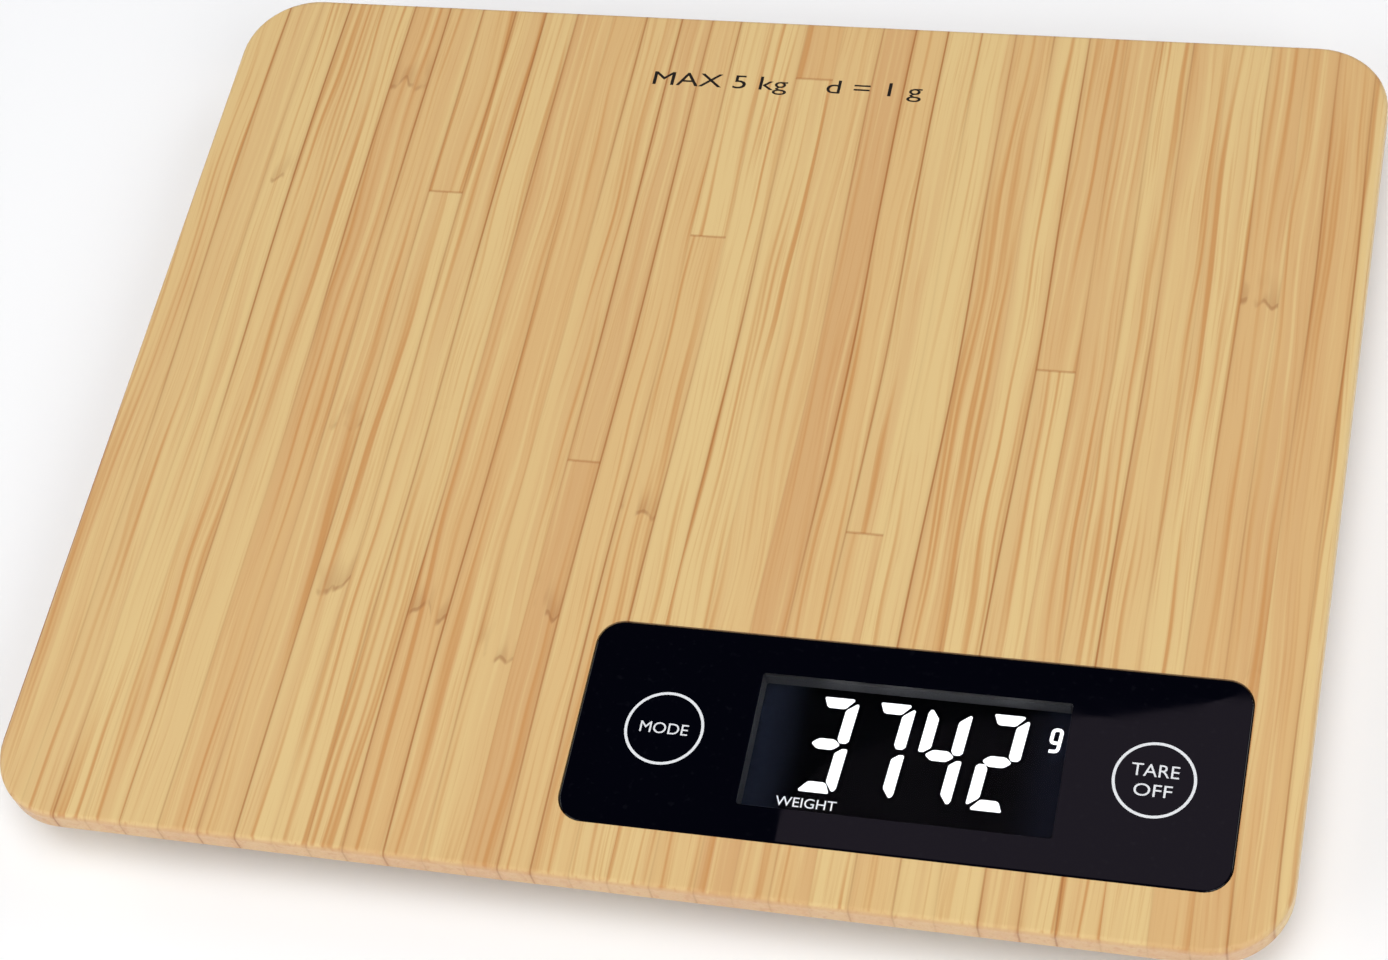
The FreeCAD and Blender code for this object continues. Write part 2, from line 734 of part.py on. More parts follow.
def housing_screw(index, x, y):
    """Pan-head wood screw with a cross recess, its head up inside the counterbore."""
    body = new_body("housing_screw_%d" % index)
    top = "(%s + screw_bite - housing_low - screw_sunk)" % BOARD_UNDER
    shoulder = "(head_bore_depth - screw_sunk)"
    outline = [
        ("0", "0"),
        ("screw_head_radius - screw_bevel_width", "0"),
        ("screw_head_radius", "screw_bevel_height"),
        ("screw_head_radius", shoulder),
        ("screw_radius", shoulder),
        ("screw_radius", top + " - screw_radius"),
        ("0", top),
    ]
    revolved(body, "screw_outline_%d" % index, outline)
    drive = new_sketch(body, "drive_%d" % index, "0")
    draw_cross(drive, "drive_radius", "drive_half")
    pocket(drive, "drive_depth", upwards=True)
    place(body, x, y, "housing_low + screw_sunk")


def draw_cross(sketch, reach, half):
    """Draw the plus-shaped outline of a cross recess."""
    low_reach, low_half = "-" + reach, "-" + half
    points = [
        (reach, low_half),
        (reach, half),
        (half, half),
        (half, reach),
        (low_half, reach),
        (low_half, half),
        (low_reach, half),
        (low_reach, low_half),
        (low_half, low_half),
        (low_half, low_reach),
        (half, low_reach),
        (half, low_half),
    ]
    draw_outline(sketch, points)


# ---------------------------------------------------------------------------------------------
# Feet and load cells
# ---------------------------------------------------------------------------------------------

def foot_cup(corner, x, y):
    """Stiff cup that passes the load from the rubber pad to the tongue of the load cell."""
    body = new_body("foot_cup_" + corner)
    under_flange = FLOOR_TOP + " + flange_lift"
    over_flange = under_flange + " + flange_thick"
    recess = "cup_low + cup_recess_depth"
    outline = [
        ("0", recess),
        ("pad_radius + pad_fit", recess),
        ("pad_radius + pad_fit", "cup_low"),
        ("cup_radius", "cup_low"),
        ("cup_radius", under_flange),
        ("flange_radius", under_flange),
        ("flange_radius", over_flange),
        ("nub_radius", over_flange),
        ("nub_radius - nub_taper", CELL_UNDER + " - nub_gap"),
        ("0", CELL_UNDER + " - nub_gap"),
    ]
    revolved(body, "cup_outline_" + corner, outline)
    place(body, x, y)


def foot_pad(corner, x, y):
    """Rubber pad with a ring groove, glued into the cup."""
    body = new_body("foot_pad_" + corner)
    outline = [
        ("0", "0"),
        ("pad_groove_inner", "0"),
        ("pad_groove_inner", "pad_groove_depth"),
        ("pad_groove_outer", "pad_groove_depth"),
        ("pad_groove_outer", "0"),
        ("pad_radius - pad_round", "0"),
        ("pad_radius", "pad_round"),
        ("pad_radius", "cup_low + cup_recess_depth"),
        ("0", "cup_low + cup_recess_depth"),
    ]
    revolved(body, "pad_outline_" + corner, outline)
    place(body, x, y)


def load_cell(corner, x, y, turn):
    """Square steel plate whose U-shaped slot leaves a tongue that bends under the foot."""
    body = new_body("load_cell_" + corner)
    plate = new_sketch(body, "cell_plate_" + corner, CELL_UNDER)
    draw_rounded(plate, "0", "0", "cell_side", "cell_side", "cell_corner")
    pad(plate, "cell_thick")
    slot = new_sketch(body, "cell_slot_" + corner, CELL_TOP)
    outer, inner = "slot_outer", "(slot_outer - slot_width)"
    root = "(slot_outer - gauge_width)"
    points = [
        ("-" + outer, root),
        ("-" + outer, "-" + outer),
        (outer, "-" + outer),
        (outer, root),
        (inner, root),
        (inner, "-" + inner),
        ("-" + inner, "-" + inner),
        ("-" + inner, root),
    ]
    draw_outline(slot, points)
    pocket(slot, "cell_thick + cut_past")
    place(body, x, y, turn=turn)


def strain_gauge(corner, x, y, turn):
    """Strain gauge under its sealant, on the root of the cell's tongue."""
    body = new_body("strain_gauge_" + corner)
    outline = new_sketch(body, "gauge_" + corner, CELL_TOP)
    centre = "slot_outer - gauge_width / 2"
    draw_rounded(outline, "0", centre, "gauge_length", "gauge_width", "gauge_height")
    pad(outline, "gauge_height")
    place(body, x, y, turn=turn)


def load_cell_clamp(corner, x, y, turn):
    """U-shaped clamp that holds the cell's rim on its seat and leaves a way out for the lead."""
    body = new_body("load_cell_clamp_" + corner)
    half, inner = "(cell_side / 2)", "(cell_side / 2 - clamp_band)"
    outline = new_sketch(body, "clamp_" + corner, CELL_TOP)
    points = [
        ("-" + half, "-" + half),
        (half, "-" + half),
        (half, half),
        (inner, half),
        (inner, "-" + inner),
        ("-" + inner, "-" + inner),
        ("-" + inner, half),
        ("-" + half, half),
    ]
    draw_outline(outline, points)
    pad(outline, "clamp_thick")
    ears = new_sketch(body, "clamp_ears_" + corner, CELL_TOP)
    for sign in (-1, 1):
        draw_circle(ears, signed(sign, "ear_reach"), "0", "ear_radius")
    pad(ears, "clamp_thick")
    bores = new_sketch(body, "clamp_bores_" + corner, CELL_TOP + " + clamp_thick")
    for sign in (-1, 1):
        draw_circle(bores, signed(sign, "ear_reach"), "0", "(clamp_head_radius + clamp_head_gap)")
    pocket(bores, "clamp_thick + cut_past")
    place(body, x, y, turn=turn)


def clamp_screws(corner, x, y):
    """Pair of flat-head screws that hold one clamp down to the tray's posts."""
    body = new_body("clamp_screws_" + corner)
    heads = new_sketch(body, "clamp_heads_" + corner, CELL_TOP)
    shanks = new_sketch(body, "clamp_shanks_" + corner, CELL_TOP + " - clamp_screw_bite")
    for sign in (-1, 1):
        draw_circle(heads, signed(sign, "ear_reach"), "0", "clamp_head_radius")
        draw_circle(shanks, signed(sign, "ear_reach"), "0", "clamp_screw_radius")
    pad(shanks, "clamp_screw_bite")
    pad(heads, "clamp_thick")
    place(body, x, y)


# ---------------------------------------------------------------------------------------------
# Battery bay
# ---------------------------------------------------------------------------------------------

def battery_door():
    """Door that slides rearwards in the housing's grooves; its lip wraps round the rear edge."""
    body = new_body("battery_door")
    rear = "(%s / 2)" % HOUSING_DEPTH
    flange_low = "(groove_low + door_gap)"
    run, middle = "(%s - door_front)" % rear, "((%s + door_front) / 2)" % rear
    face = new_sketch(body, "door_face", "housing_low")
    draw_rectangle(face, "0", middle, "(door_slot - 2 * door_gap)", run)
    pad(face, "%s + door_flange_thick / 2 - housing_low" % flange_low)
    flange = new_sketch(body, "door_flange", flange_low)
    draw_rectangle(flange, "0", middle, "(door_groove - 2 * door_gap)", run)
    pad(flange, "%s - door_gap - %s" % (FLOOR_TOP, flange_low))
    lip = new_sketch(body, "door_lip", "housing_low")
    draw_rectangle(lip, "0", "%s - lip_thick / 2" % rear, "(door_groove - 2 * door_gap)", "lip_thick")
    pad(lip, "lip_height")
    low_edge = edge_at("housing_low")
    rear_wall = number(rear)

    def outer_low_edge(edge):
        box = edge.BoundBox
        reaches = (abs(box.YMin - rear_wall), abs(box.YMax - rear_wall))
        return low_edge(edge) and max(reaches) < SAME_PLACE

    round_edges(body, "door_rear_edge", "lip_round", outer_low_edge)
    grips = new_sketch(body, "door_grips", "housing_low")
    for index in range(int(SIZES["grip_count"])):
        grip_y = "(door_front + grip_start + %d * grip_pitch)" % index
        draw_rectangle(grips, "0", grip_y, "grip_width", "grip_slot")
    pocket(grips, "grip_depth", upwards=True)
    arrow = new_sketch(body, "door_arrow", "housing_low")
    foot = "arrow_y - arrow_reach / 2"
    draw_outline(arrow, [("-arrow_reach", foot), ("arrow_reach", foot), ("0", "arrow_y + arrow_reach / 2")])
    pocket(arrow, "grip_depth", upwards=True)


def coin_cell(side, sign):
    """Coin cell: wide can below, smaller cap above."""
    body = new_body("coin_cell_" + side)
    low = "(bay_ceiling - contact_thick - coin_thick)"
    can = new_sketch(body, "can_" + side, low)
    draw_circle(can, "0", "0", "coin_radius")
    pad(can, "coin_thick - coin_step")
    round_edges(body, "can_edge_" + side, "coin_round", edge_at(low))
    cap = new_sketch(body, "cap_" + side, low + " + coin_thick - coin_step")
    draw_circle(cap, "0", "0", "coin_step_radius")
    pad(cap, "coin_step")
    place(body, signed(sign, "coin_reach"), "coin_y")


def battery_contact_negative():
    """Nickelled plate on the bay's ceiling that touches both caps."""
    body = new_body("battery_contact_negative")
    plate = new_sketch(body, "negative_plate", "bay_ceiling - contact_thick")
    draw_rounded(plate, "0", "coin_y", "contact_length", "contact_width", "contact_corner")
    pad(plate, "contact_thick")


def battery_contact_positive():
    """Folded leaf between the cells that presses on both cans."""
    body = new_body("battery_contact_positive")
    leaf = new_sketch(body, "positive_leaf", "bay_ceiling - contact_thick - coin_thick + clip_foot")
    gap = "(coin_reach - coin_radius)"
    low, high = "(coin_y - clip_length / 2)", "(coin_y + clip_length / 2)"
    inner = "(coin_reach - coin_radius - contact_thick)"
    points = [
        ("-" + gap, low),
        (gap, low),
        (gap, high),
        (inner, high),
        (inner, low + " + contact_thick"),
        ("-" + inner, low + " + contact_thick"),
        ("-" + inner, high),
        ("-" + gap, high),
    ]
    draw_outline(leaf, points)
    pad(leaf, "coin_thick - clip_foot - clip_head")


# ---------------------------------------------------------------------------------------------
# Leads inside the housing
# ---------------------------------------------------------------------------------------------

def lead(name, route):
    """Insulated wire along straight runs joined by tangent arcs.

    A sweep has to follow points in space, which no primitive does, so the shape is set directly.
    """
    radius = number("lead_radius")
    places = [FreeCAD.Vector(*(number(text) for text in point)) for point in route]
    edges = []
    start = places[0]
    for before, at, after in zip(places, places[1:], places[2:]):
        back, ahead = before - at, after - at
        shorter = min(back.Length, ahead.Length)
        turn = math.pi - back.getAngle(ahead)
        reach = BEND_SHARE * shorter
        bend = reach / math.tan(turn / 2)
        back.normalize()
        ahead.normalize()
        enter, leave = at + back * reach, at + ahead * reach
        middle_way = back + ahead
        middle_way.normalize()
        middle = at + middle_way * (bend / math.cos(turn / 2) - bend)
        edges.append(Part.LineSegment(start, enter).toShape())
        edges.append(Part.Arc(enter, middle, leave).toShape())
        start = leave
    edges.append(Part.LineSegment(start, places[-1]).toShape())
    path = Part.Wire(edges)
    ring = Part.Wire(Part.makeCircle(radius, places[0], places[1] - places[0]))
    tube = path.makePipeShell([ring], True, False)
    wanted = math.pi * radius ** 2 * path.Length
    if abs(tube.Volume - wanted) > LEAD_TOLERANCE * wanted:
        raise RuntimeError("%s has the wrong volume" % name)
    wire = doc.addObject("Part::Feature", name)
    wire.Shape = tube
    wire.Label = name
    nodes.append(wire)


def leads():
    """Four load cell leads and the battery lead, side by side to the circuit board's left end.

    Runs along X stay low and runs along Y climb to a higher level, so that leads cross clear of
    each other.
    """
    landing = "(panel_x - circuit_width / 2 + lead_landing)"
    exit_y = "(foot_y - slot_outer)"
    on_cell = "(%s + lead_radius + lead_clear)" % CELL_TOP
    for index, corner in enumerate(("front_right", "front_left", "rear_right", "rear_left")):
        sx, sy = CORNERS[corner]
        x = signed(sx, "foot_x")
        turn_x = "(panel_x - circuit_width / 2 - lead_turn - %d * lead_pitch)" % index
        end_y = "(panel_y + lead_row - %d * lead_pitch)" % index
        route = [
            (x, signed(sy, exit_y), on_cell),
            (x, signed(sy, "(foot_y - slot_outer - lead_straight)"), on_cell),
            (x, signed(sy, "(foot_y - slot_outer - lead_drop)"), "lead_low_level"),
            (turn_x, signed(sy, "(foot_y - slot_outer - lead_bend)"), "lead_low_level"),
            (turn_x, end_y, "lead_level"),
            (landing, end_y, "lead_level"),
            (landing, end_y, CIRCUIT_TOP),
        ]
        lead("load_cell_lead_" + corner, route)
    bay_side = "-(door_groove / 2 + bay_wall)"
    turn_x = bay_side + " - lead_turn"
    end_y = "(panel_y + lead_row - 4 * lead_pitch)"
    route = [
        (bay_side, "coin_y", "bay_ceiling - lead_bay_drop"),
        (turn_x, "coin_y", "bay_ceiling - lead_bay_drop"),
        (turn_x, "coin_y - lead_climb", "lead_level"),
        (turn_x, end_y, "lead_level"),
        (landing, end_y, "lead_level"),
        (landing, end_y, CIRCUIT_TOP),
    ]
    lead("battery_lead", route)


# ---------------------------------------------------------------------------------------------
# Assembly
# ---------------------------------------------------------------------------------------------

bamboo_platform()
display_panel()
display_window()
panel_adhesive()
display_carrier()
lcd_glass()
backlight_guide()
lcd_connector()
circuit_board()
controller_chip()
circuit_screws()
touch_pillar("left", -1)
touch_pillar("right", 1)
lower_housing()
rating_label()
for count, (screw_x, screw_y) in enumerate(SCREWS, start=1):
    housing_screw(count, screw_x, screw_y)
for corner_name, (side_x, side_y) in CORNERS.items():
    here = (signed(side_x, "foot_x"), signed(side_y, "foot_y"))
    half_turn = 0 if side_y < 0 else 180
    foot_cup(corner_name, *here)
    foot_pad(corner_name, *here)
    load_cell(corner_name, *here, half_turn)
    strain_gauge(corner_name, *here, half_turn)
    load_cell_clamp(corner_name, *here, half_turn)
    clamp_screws(corner_name, *here)
battery_door()
coin_cell("left", -1)
coin_cell("right", 1)
battery_contact_negative()
battery_contact_positive()
leads()

doc.recompute()
for item in doc.Objects:
    if "Invalid" in item.State or "Error" in item.State:
        raise RuntimeError("%s did not build: %s" % (item.Label, item.State))
os.makedirs("parts", exist_ok=True)
for node in nodes:
    if node.Shape.isNull() or not node.Shape.isValid():
        raise RuntimeError("%s has no valid shape" % node.Label)
    node.Shape.exportStep("parts/%s.step" % node.Label)
    print("%-30s %8.1f mm3" % (node.Label, node.Shape.Volume))
print(len(nodes), "sub-parts")
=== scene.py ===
# %% [markdown]
# # A slim bamboo kitchen scale
# The engineering model of the scale is loaded first, as a fixed frame. It already has every part at
# its real size and place. This file gives each part its finish, adds the printed and lit details that
# the model does not have, and sets up a plain studio around it. Everything is in metres.

# %% Load the frame
import json
import math

import bmesh
import bpy
from mathutils import Matrix, Vector


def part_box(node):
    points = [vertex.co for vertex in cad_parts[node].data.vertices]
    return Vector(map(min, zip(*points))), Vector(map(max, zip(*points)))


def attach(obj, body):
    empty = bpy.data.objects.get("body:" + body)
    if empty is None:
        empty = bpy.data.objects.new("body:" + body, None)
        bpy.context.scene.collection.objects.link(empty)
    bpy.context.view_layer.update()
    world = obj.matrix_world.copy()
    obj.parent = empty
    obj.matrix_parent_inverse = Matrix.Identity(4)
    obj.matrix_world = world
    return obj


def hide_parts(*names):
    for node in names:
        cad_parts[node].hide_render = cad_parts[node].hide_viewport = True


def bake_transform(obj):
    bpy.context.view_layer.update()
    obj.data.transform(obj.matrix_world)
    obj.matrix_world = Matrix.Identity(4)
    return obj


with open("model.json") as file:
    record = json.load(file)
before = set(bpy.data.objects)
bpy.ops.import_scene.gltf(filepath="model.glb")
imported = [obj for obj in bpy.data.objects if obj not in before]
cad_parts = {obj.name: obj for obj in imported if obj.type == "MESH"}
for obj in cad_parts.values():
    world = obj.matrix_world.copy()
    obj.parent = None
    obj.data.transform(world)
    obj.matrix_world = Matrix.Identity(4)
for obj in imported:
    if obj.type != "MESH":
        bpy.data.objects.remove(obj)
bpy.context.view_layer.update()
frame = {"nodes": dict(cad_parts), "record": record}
MM = 0.001

# %% [markdown]
# ## Places that the whole file measures from
# No place is typed in twice. The platform's top, the panel, its window and the display glass below it
# all come from the boxes of the CAD nodes, so a change in the model moves everything with it.

# %% Read the places
board_low, board_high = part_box("bamboo_platform")
panel_low, panel_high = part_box("display_panel")
lens_low, lens_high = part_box("display_window")
display_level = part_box("lcd_glass")[1].z
key_boxes = [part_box("touch_pillar_left"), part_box("touch_pillar_right")]
key_centres = [((low + high) / 2).to_2d() for low, high in key_boxes]
print("platform top at %.1f mm, panel top at %.2f mm" % (board_high.z / MM, panel_high.z / MM))

# %% [markdown]
# ## Helpers for node trees
# A material in Blender is a graph of nodes. A few small functions keep the graphs readable. They add
# a node and fill its sockets, do a step of arithmetic on numbers or places, mix two colours, turn a
# range of values into a soft mask, and make noise of a given grain. Two more work out plain colours.

# %% Node helpers
def add(tree, kind, inputs=(), **settings):
    """Add a node, set its properties, and fill its sockets with values or links."""
    node = tree.nodes.new(kind)
    for name, value in settings.items():
        setattr(node, name, value)
    for socket, value in dict(inputs).items():
        if isinstance(value, bpy.types.NodeSocket):
            tree.links.new(value, node.inputs[socket])
        else:
            node.inputs[socket].default_value = value
    return node


def calc(tree, operation, *values):
    """Do one step of arithmetic on numbers or sockets."""
    return add(tree, "ShaderNodeMath", enumerate(values), operation=operation).outputs[0]


def calc_place(tree, operation, first, second):
    """Do one step of arithmetic on places or directions."""
    return add(tree, "ShaderNodeVectorMath", {0: first, 1: second}, operation=operation).outputs[0]


def mix_colours(tree, factor, first, second):
    """Mix two colours by a factor."""
    return add(tree, "ShaderNodeMix", {0: factor, 6: first, 7: second}, data_type="RGBA").outputs[2]


def soft_mask(tree, value, low, high, start=0.0, end=1.0):
    """Go smoothly from start to end while the value goes from low to high."""
    sockets = {0: value, 1: low, 2: high, 3: start, 4: end}
    return add(tree, "ShaderNodeMapRange", sockets, interpolation_type="SMOOTHSTEP").outputs[0]


def stretched_noise(tree, place, stretch, detail=2.0):
    """Noise whose grains measure 1/stretch metres along each axis."""
    scaled = calc_place(tree, "MULTIPLY", place, stretch)
    return add(tree, "ShaderNodeTexNoise", {"Vector": scaled, "Scale": 1.0, "Detail": detail}).outputs[0]


def colour(red, green, blue):
    """Turn a colour given as it looks on a screen, 0 to 255, into the linear values that light uses."""
    linear = []
    for value in (red, green, blue):
        share = value / 255
        linear.append(share / 12.92 if share <= 0.04045 else ((share + 0.055) / 1.055) ** 2.4)
    return (*linear, 1.0)


def shaded(base, factor, lift=0.0):
    """A colour made darker or lighter by a factor."""
    return (*(min(1.0, channel * factor + lift) for channel in base[:3]), 1.0)


print("a screen grey of 128 is %.3f in light" % colour(128, 128, 128)[0])


# %% [markdown]
# ## Shared effects as node groups
# Three effects turn up in more than one finish: the fine spark-eroded texture of a mould, the faint
# lines of drawn or rolled metal, and the patches that handling leaves. Each is a shader node group
# with named sockets, built once. A group gives out only masks and heights, and the surface itself
# stays in the material.

# %% Group helper
def new_group(name, inputs, outputs):
    """Make an empty shader group and return it with its input and output sockets."""
    tree = bpy.data.node_groups.new(name, "ShaderNodeTree")
    for label, kind, default in inputs:
        socket = tree.interface.new_socket(label, in_out="INPUT", socket_type=kind)
        if default is not None:
            socket.default_value = default
    for label in outputs:
        tree.interface.new_socket(label, in_out="OUTPUT", socket_type="NodeSocketFloat")
    return tree, tree.nodes.new("NodeGroupInput").outputs, tree.nodes.new("NodeGroupOutput").inputs


def use_group(tree, group, inputs):
    """Place a group in a tree and return its outputs."""
    return add(tree, "ShaderNodeGroup", inputs, node_tree=group).outputs


# %% Mould texture group
def build_mould_texture():
    """Rounded pits and bumps of one size, as a spark-eroded mould leaves them."""
    inputs = [("Position", "NodeSocketVector", None), ("Grain Size", "NodeSocketFloat", 0.4 * MM)]
    tree, given, result = new_group("Mould Texture", inputs, ["Height", "Speckle"])
    scale = calc(tree, "DIVIDE", 1.0, given["Grain Size"])
    grains = {"Vector": given["Position"], "Scale": scale}
    cells = add(tree, "ShaderNodeTexVoronoi", grains, feature="SMOOTH_F1")
    rough = add(tree, "ShaderNodeTexNoise", {**grains, "Detail": 3.0})
    height = calc(tree, "ADD", cells.outputs["Distance"], rough.outputs[0])
    tree.links.new(calc(tree, "MULTIPLY", height, 0.5), result["Height"])
    tree.links.new(soft_mask(tree, rough.outputs[0], 0.35, 0.7), result["Speckle"])
    return tree


mould_texture = build_mould_texture()
print("group:", mould_texture.name)

# %% Drawn metal group
def build_drawn_lines():
    """Fine parallel lines along X, of uneven strength."""
    inputs = [("Position", "NodeSocketVector", None), ("Line Width", "NodeSocketFloat", 0.08 * MM)]
    tree, given, result = new_group("Drawn Lines", inputs, ["Height", "Tone"])
    across = calc(tree, "DIVIDE", 1.0, given["Line Width"])
    along = calc(tree, "MULTIPLY", across, 0.02)
    stretch = add(tree, "ShaderNodeCombineXYZ", {0: along, 1: across, 2: across}).outputs[0]
    lines = stretched_noise(tree, given["Position"], stretch, 3.0)
    tree.links.new(lines, result["Height"])
    tree.links.new(soft_mask(tree, lines, 0.3, 0.7), result["Tone"])
    return tree


drawn_lines = build_drawn_lines()
print("group:", drawn_lines.name)

# %% Handling group
def build_handling():
    """Broad patches where fingers and cloths have polished or dulled a surface."""
    inputs = [("Position", "NodeSocketVector", None), ("Patch Size", "NodeSocketFloat", 20 * MM)]
    tree, given, result = new_group("Handling", inputs, ["Patches", "Scuffs"])
    scale = calc(tree, "DIVIDE", 1.0, given["Patch Size"])
    patches = {"Vector": given["Position"], "Scale": scale, "Detail": 4.0, "Distortion": 0.6}
    broad = add(tree, "ShaderNodeTexNoise", patches)
    fine = calc(tree, "MULTIPLY", scale, 14.0)
    specks = add(tree, "ShaderNodeTexNoise", {"Vector": given["Position"], "Scale": fine, "Detail": 5.0})
    tree.links.new(soft_mask(tree, broad.outputs[0], 0.38, 0.66), result["Patches"])
    tree.links.new(soft_mask(tree, specks.outputs[0], 0.6, 0.72), result["Scuffs"])
    return tree


handling = build_handling()
print("group:", handling.name)

# %% [markdown]
# ## Starting a finish
# Every finish starts the same way: a Principled surface, and the place of each surface point in the
# object's own metres, so that a 0.3 mm grain is 0.3 mm on every part. Values that are the same all
# over are set on the surface's own sockets.

# %% Finish helper
def new_finish(name, constants):
    """Start a material; return it with its tree, its surface node and the position socket."""
    material = bpy.data.materials.new(name)
    material.use_nodes = True
    tree = material.node_tree
    surface = tree.nodes["Principled BSDF"]
    for socket, value in constants.items():
        surface.inputs[socket].default_value = value
    return material, tree, surface, tree.nodes.new("ShaderNodeTexCoord").outputs["Object"]


def add_bump(tree, surface, height, depth, strength=1.0):
    """Let a height of up to depth metres tilt the surface's shading."""
    bump = add(tree, "ShaderNodeBump", {"Height": height, "Distance": depth, "Strength": strength})
    tree.links.new(bump.outputs[0], surface.inputs["Normal"])


# %% [markdown]
# ## The bamboo
# The platform is made of bamboo slats about 7 mm wide, planed, stood on edge and glued side by side.
# Each slat has its own tone, fine fibres run along it, and here and there it shows a knuckle of the
# stem, with a soft shadow painted on one side, or a butt joint where a new slat starts. A texture image
# could not follow the slats round the edges, so the pattern is worked out from the position instead: a
# one-dimensional Voronoi texture gives the uneven slats, and noise stretched along the slats gives the
# fibres. On the end faces the same fibres are cut across and show as dots, with no extra work.

# %% Size of the slats
SLAT_WIDTH = 6.9 * MM
SLAT_UNEVENNESS = 0.4
SLAT_BEND = 3.5 * MM
# The row of slats is shifted by this many slats.
FIRST_SLAT = 40.3
# Metres from one butt joint or knuckle of a slat to its next.
JOINT_SPACING = 2.8
KNUCKLE_SPACING = 0.24
KNUCKLE_BEND = 12 * MM
GRAIN_SWAY = 2.8 * MM

# How often each pattern changes in a metre along X, Y and Z.
BEND_GRAIN = (9.0, 9.0, 9.0)
WANDER_GRAIN = (90.0, 22.0, 60.0)
FIBRE_GRAIN = (2300.0, 34.0, 2300.0)
STREAK_GRAIN = (820.0, 9.0, 700.0)
BROAD_GRAIN = (260.0, 5.5, 260.0)
RIPPLE_GRAIN = (300.0, 50.0, 200.0)
SIDE_GRAIN = (420.0, 90.0, 300.0)
GLUE_GRAIN = (150.0, 7.0, 60.0)
print("about %d slats across the platform" % round((board_high.x - board_low.x) / SLAT_WIDTH))

# %% Knuckle and glue masks
def knuckle_and_shadow_mask(tree, own, along, chances):
    """A short ridge with a soft shadow on one side, where a joint of the stem was planed away."""
    ripple = stretched_noise(tree, own, RIPPLE_GRAIN, 1.5)
    shift = calc(tree, "MULTIPLY", chances[1], 5.0)
    climb = calc(tree, "ADD", calc(tree, "DIVIDE", along, KNUCKLE_SPACING), shift)
    from_ridge = calc(tree, "SUBTRACT", calc(tree, "FRACT", climb), 0.5)
    place = calc(tree, "MULTIPLY", from_ridge, KNUCKLE_SPACING)
    bend = calc(tree, "MULTIPLY", calc(tree, "SUBTRACT", ripple, 0.5), KNUCKLE_BEND)
    bent = calc(tree, "ADD", place, bend)
    ridge = soft_mask(tree, calc(tree, "ABSOLUTE", bent), 0.1 * MM, 1.1 * MM, 1.0, 0.0)
    rise = soft_mask(tree, bent, -0.6 * MM, 0.4 * MM)
    # Painted shadow: a darker band that fades out over 8 mm on one side of the knuckle line.
    painted_shadow = calc(tree, "MULTIPLY", rise, soft_mask(tree, bent, 0.0, 8 * MM, 0.5, 0.0))
    side = soft_mask(tree, stretched_noise(tree, own, SIDE_GRAIN, 1.0), 0.42, 0.62)
    strong = soft_mask(tree, chances[2], 0.45, 0.8)
    shape = calc(tree, "MULTIPLY", calc(tree, "MAXIMUM", ridge, painted_shadow), side)
    return calc(tree, "MULTIPLY", shape, strong)


def glue_mask(tree, position, edge_distance):
    """A thin glue line with a faint glow beside it, stronger in some stretches than in others."""
    stretches = stretched_noise(tree, position, GLUE_GRAIN, 1.0)
    strength = soft_mask(tree, stretches, 0.38, 0.66, 0.16, 1.0)
    line = soft_mask(tree, edge_distance, 0.05 * MM, 0.34 * MM, 1.0, 0.0)
    glow = soft_mask(tree, edge_distance, 0.0, 1.1 * MM, 0.3, 0.0)
    return calc(tree, "MULTIPLY", calc(tree, "MAXIMUM", line, glow), strength)


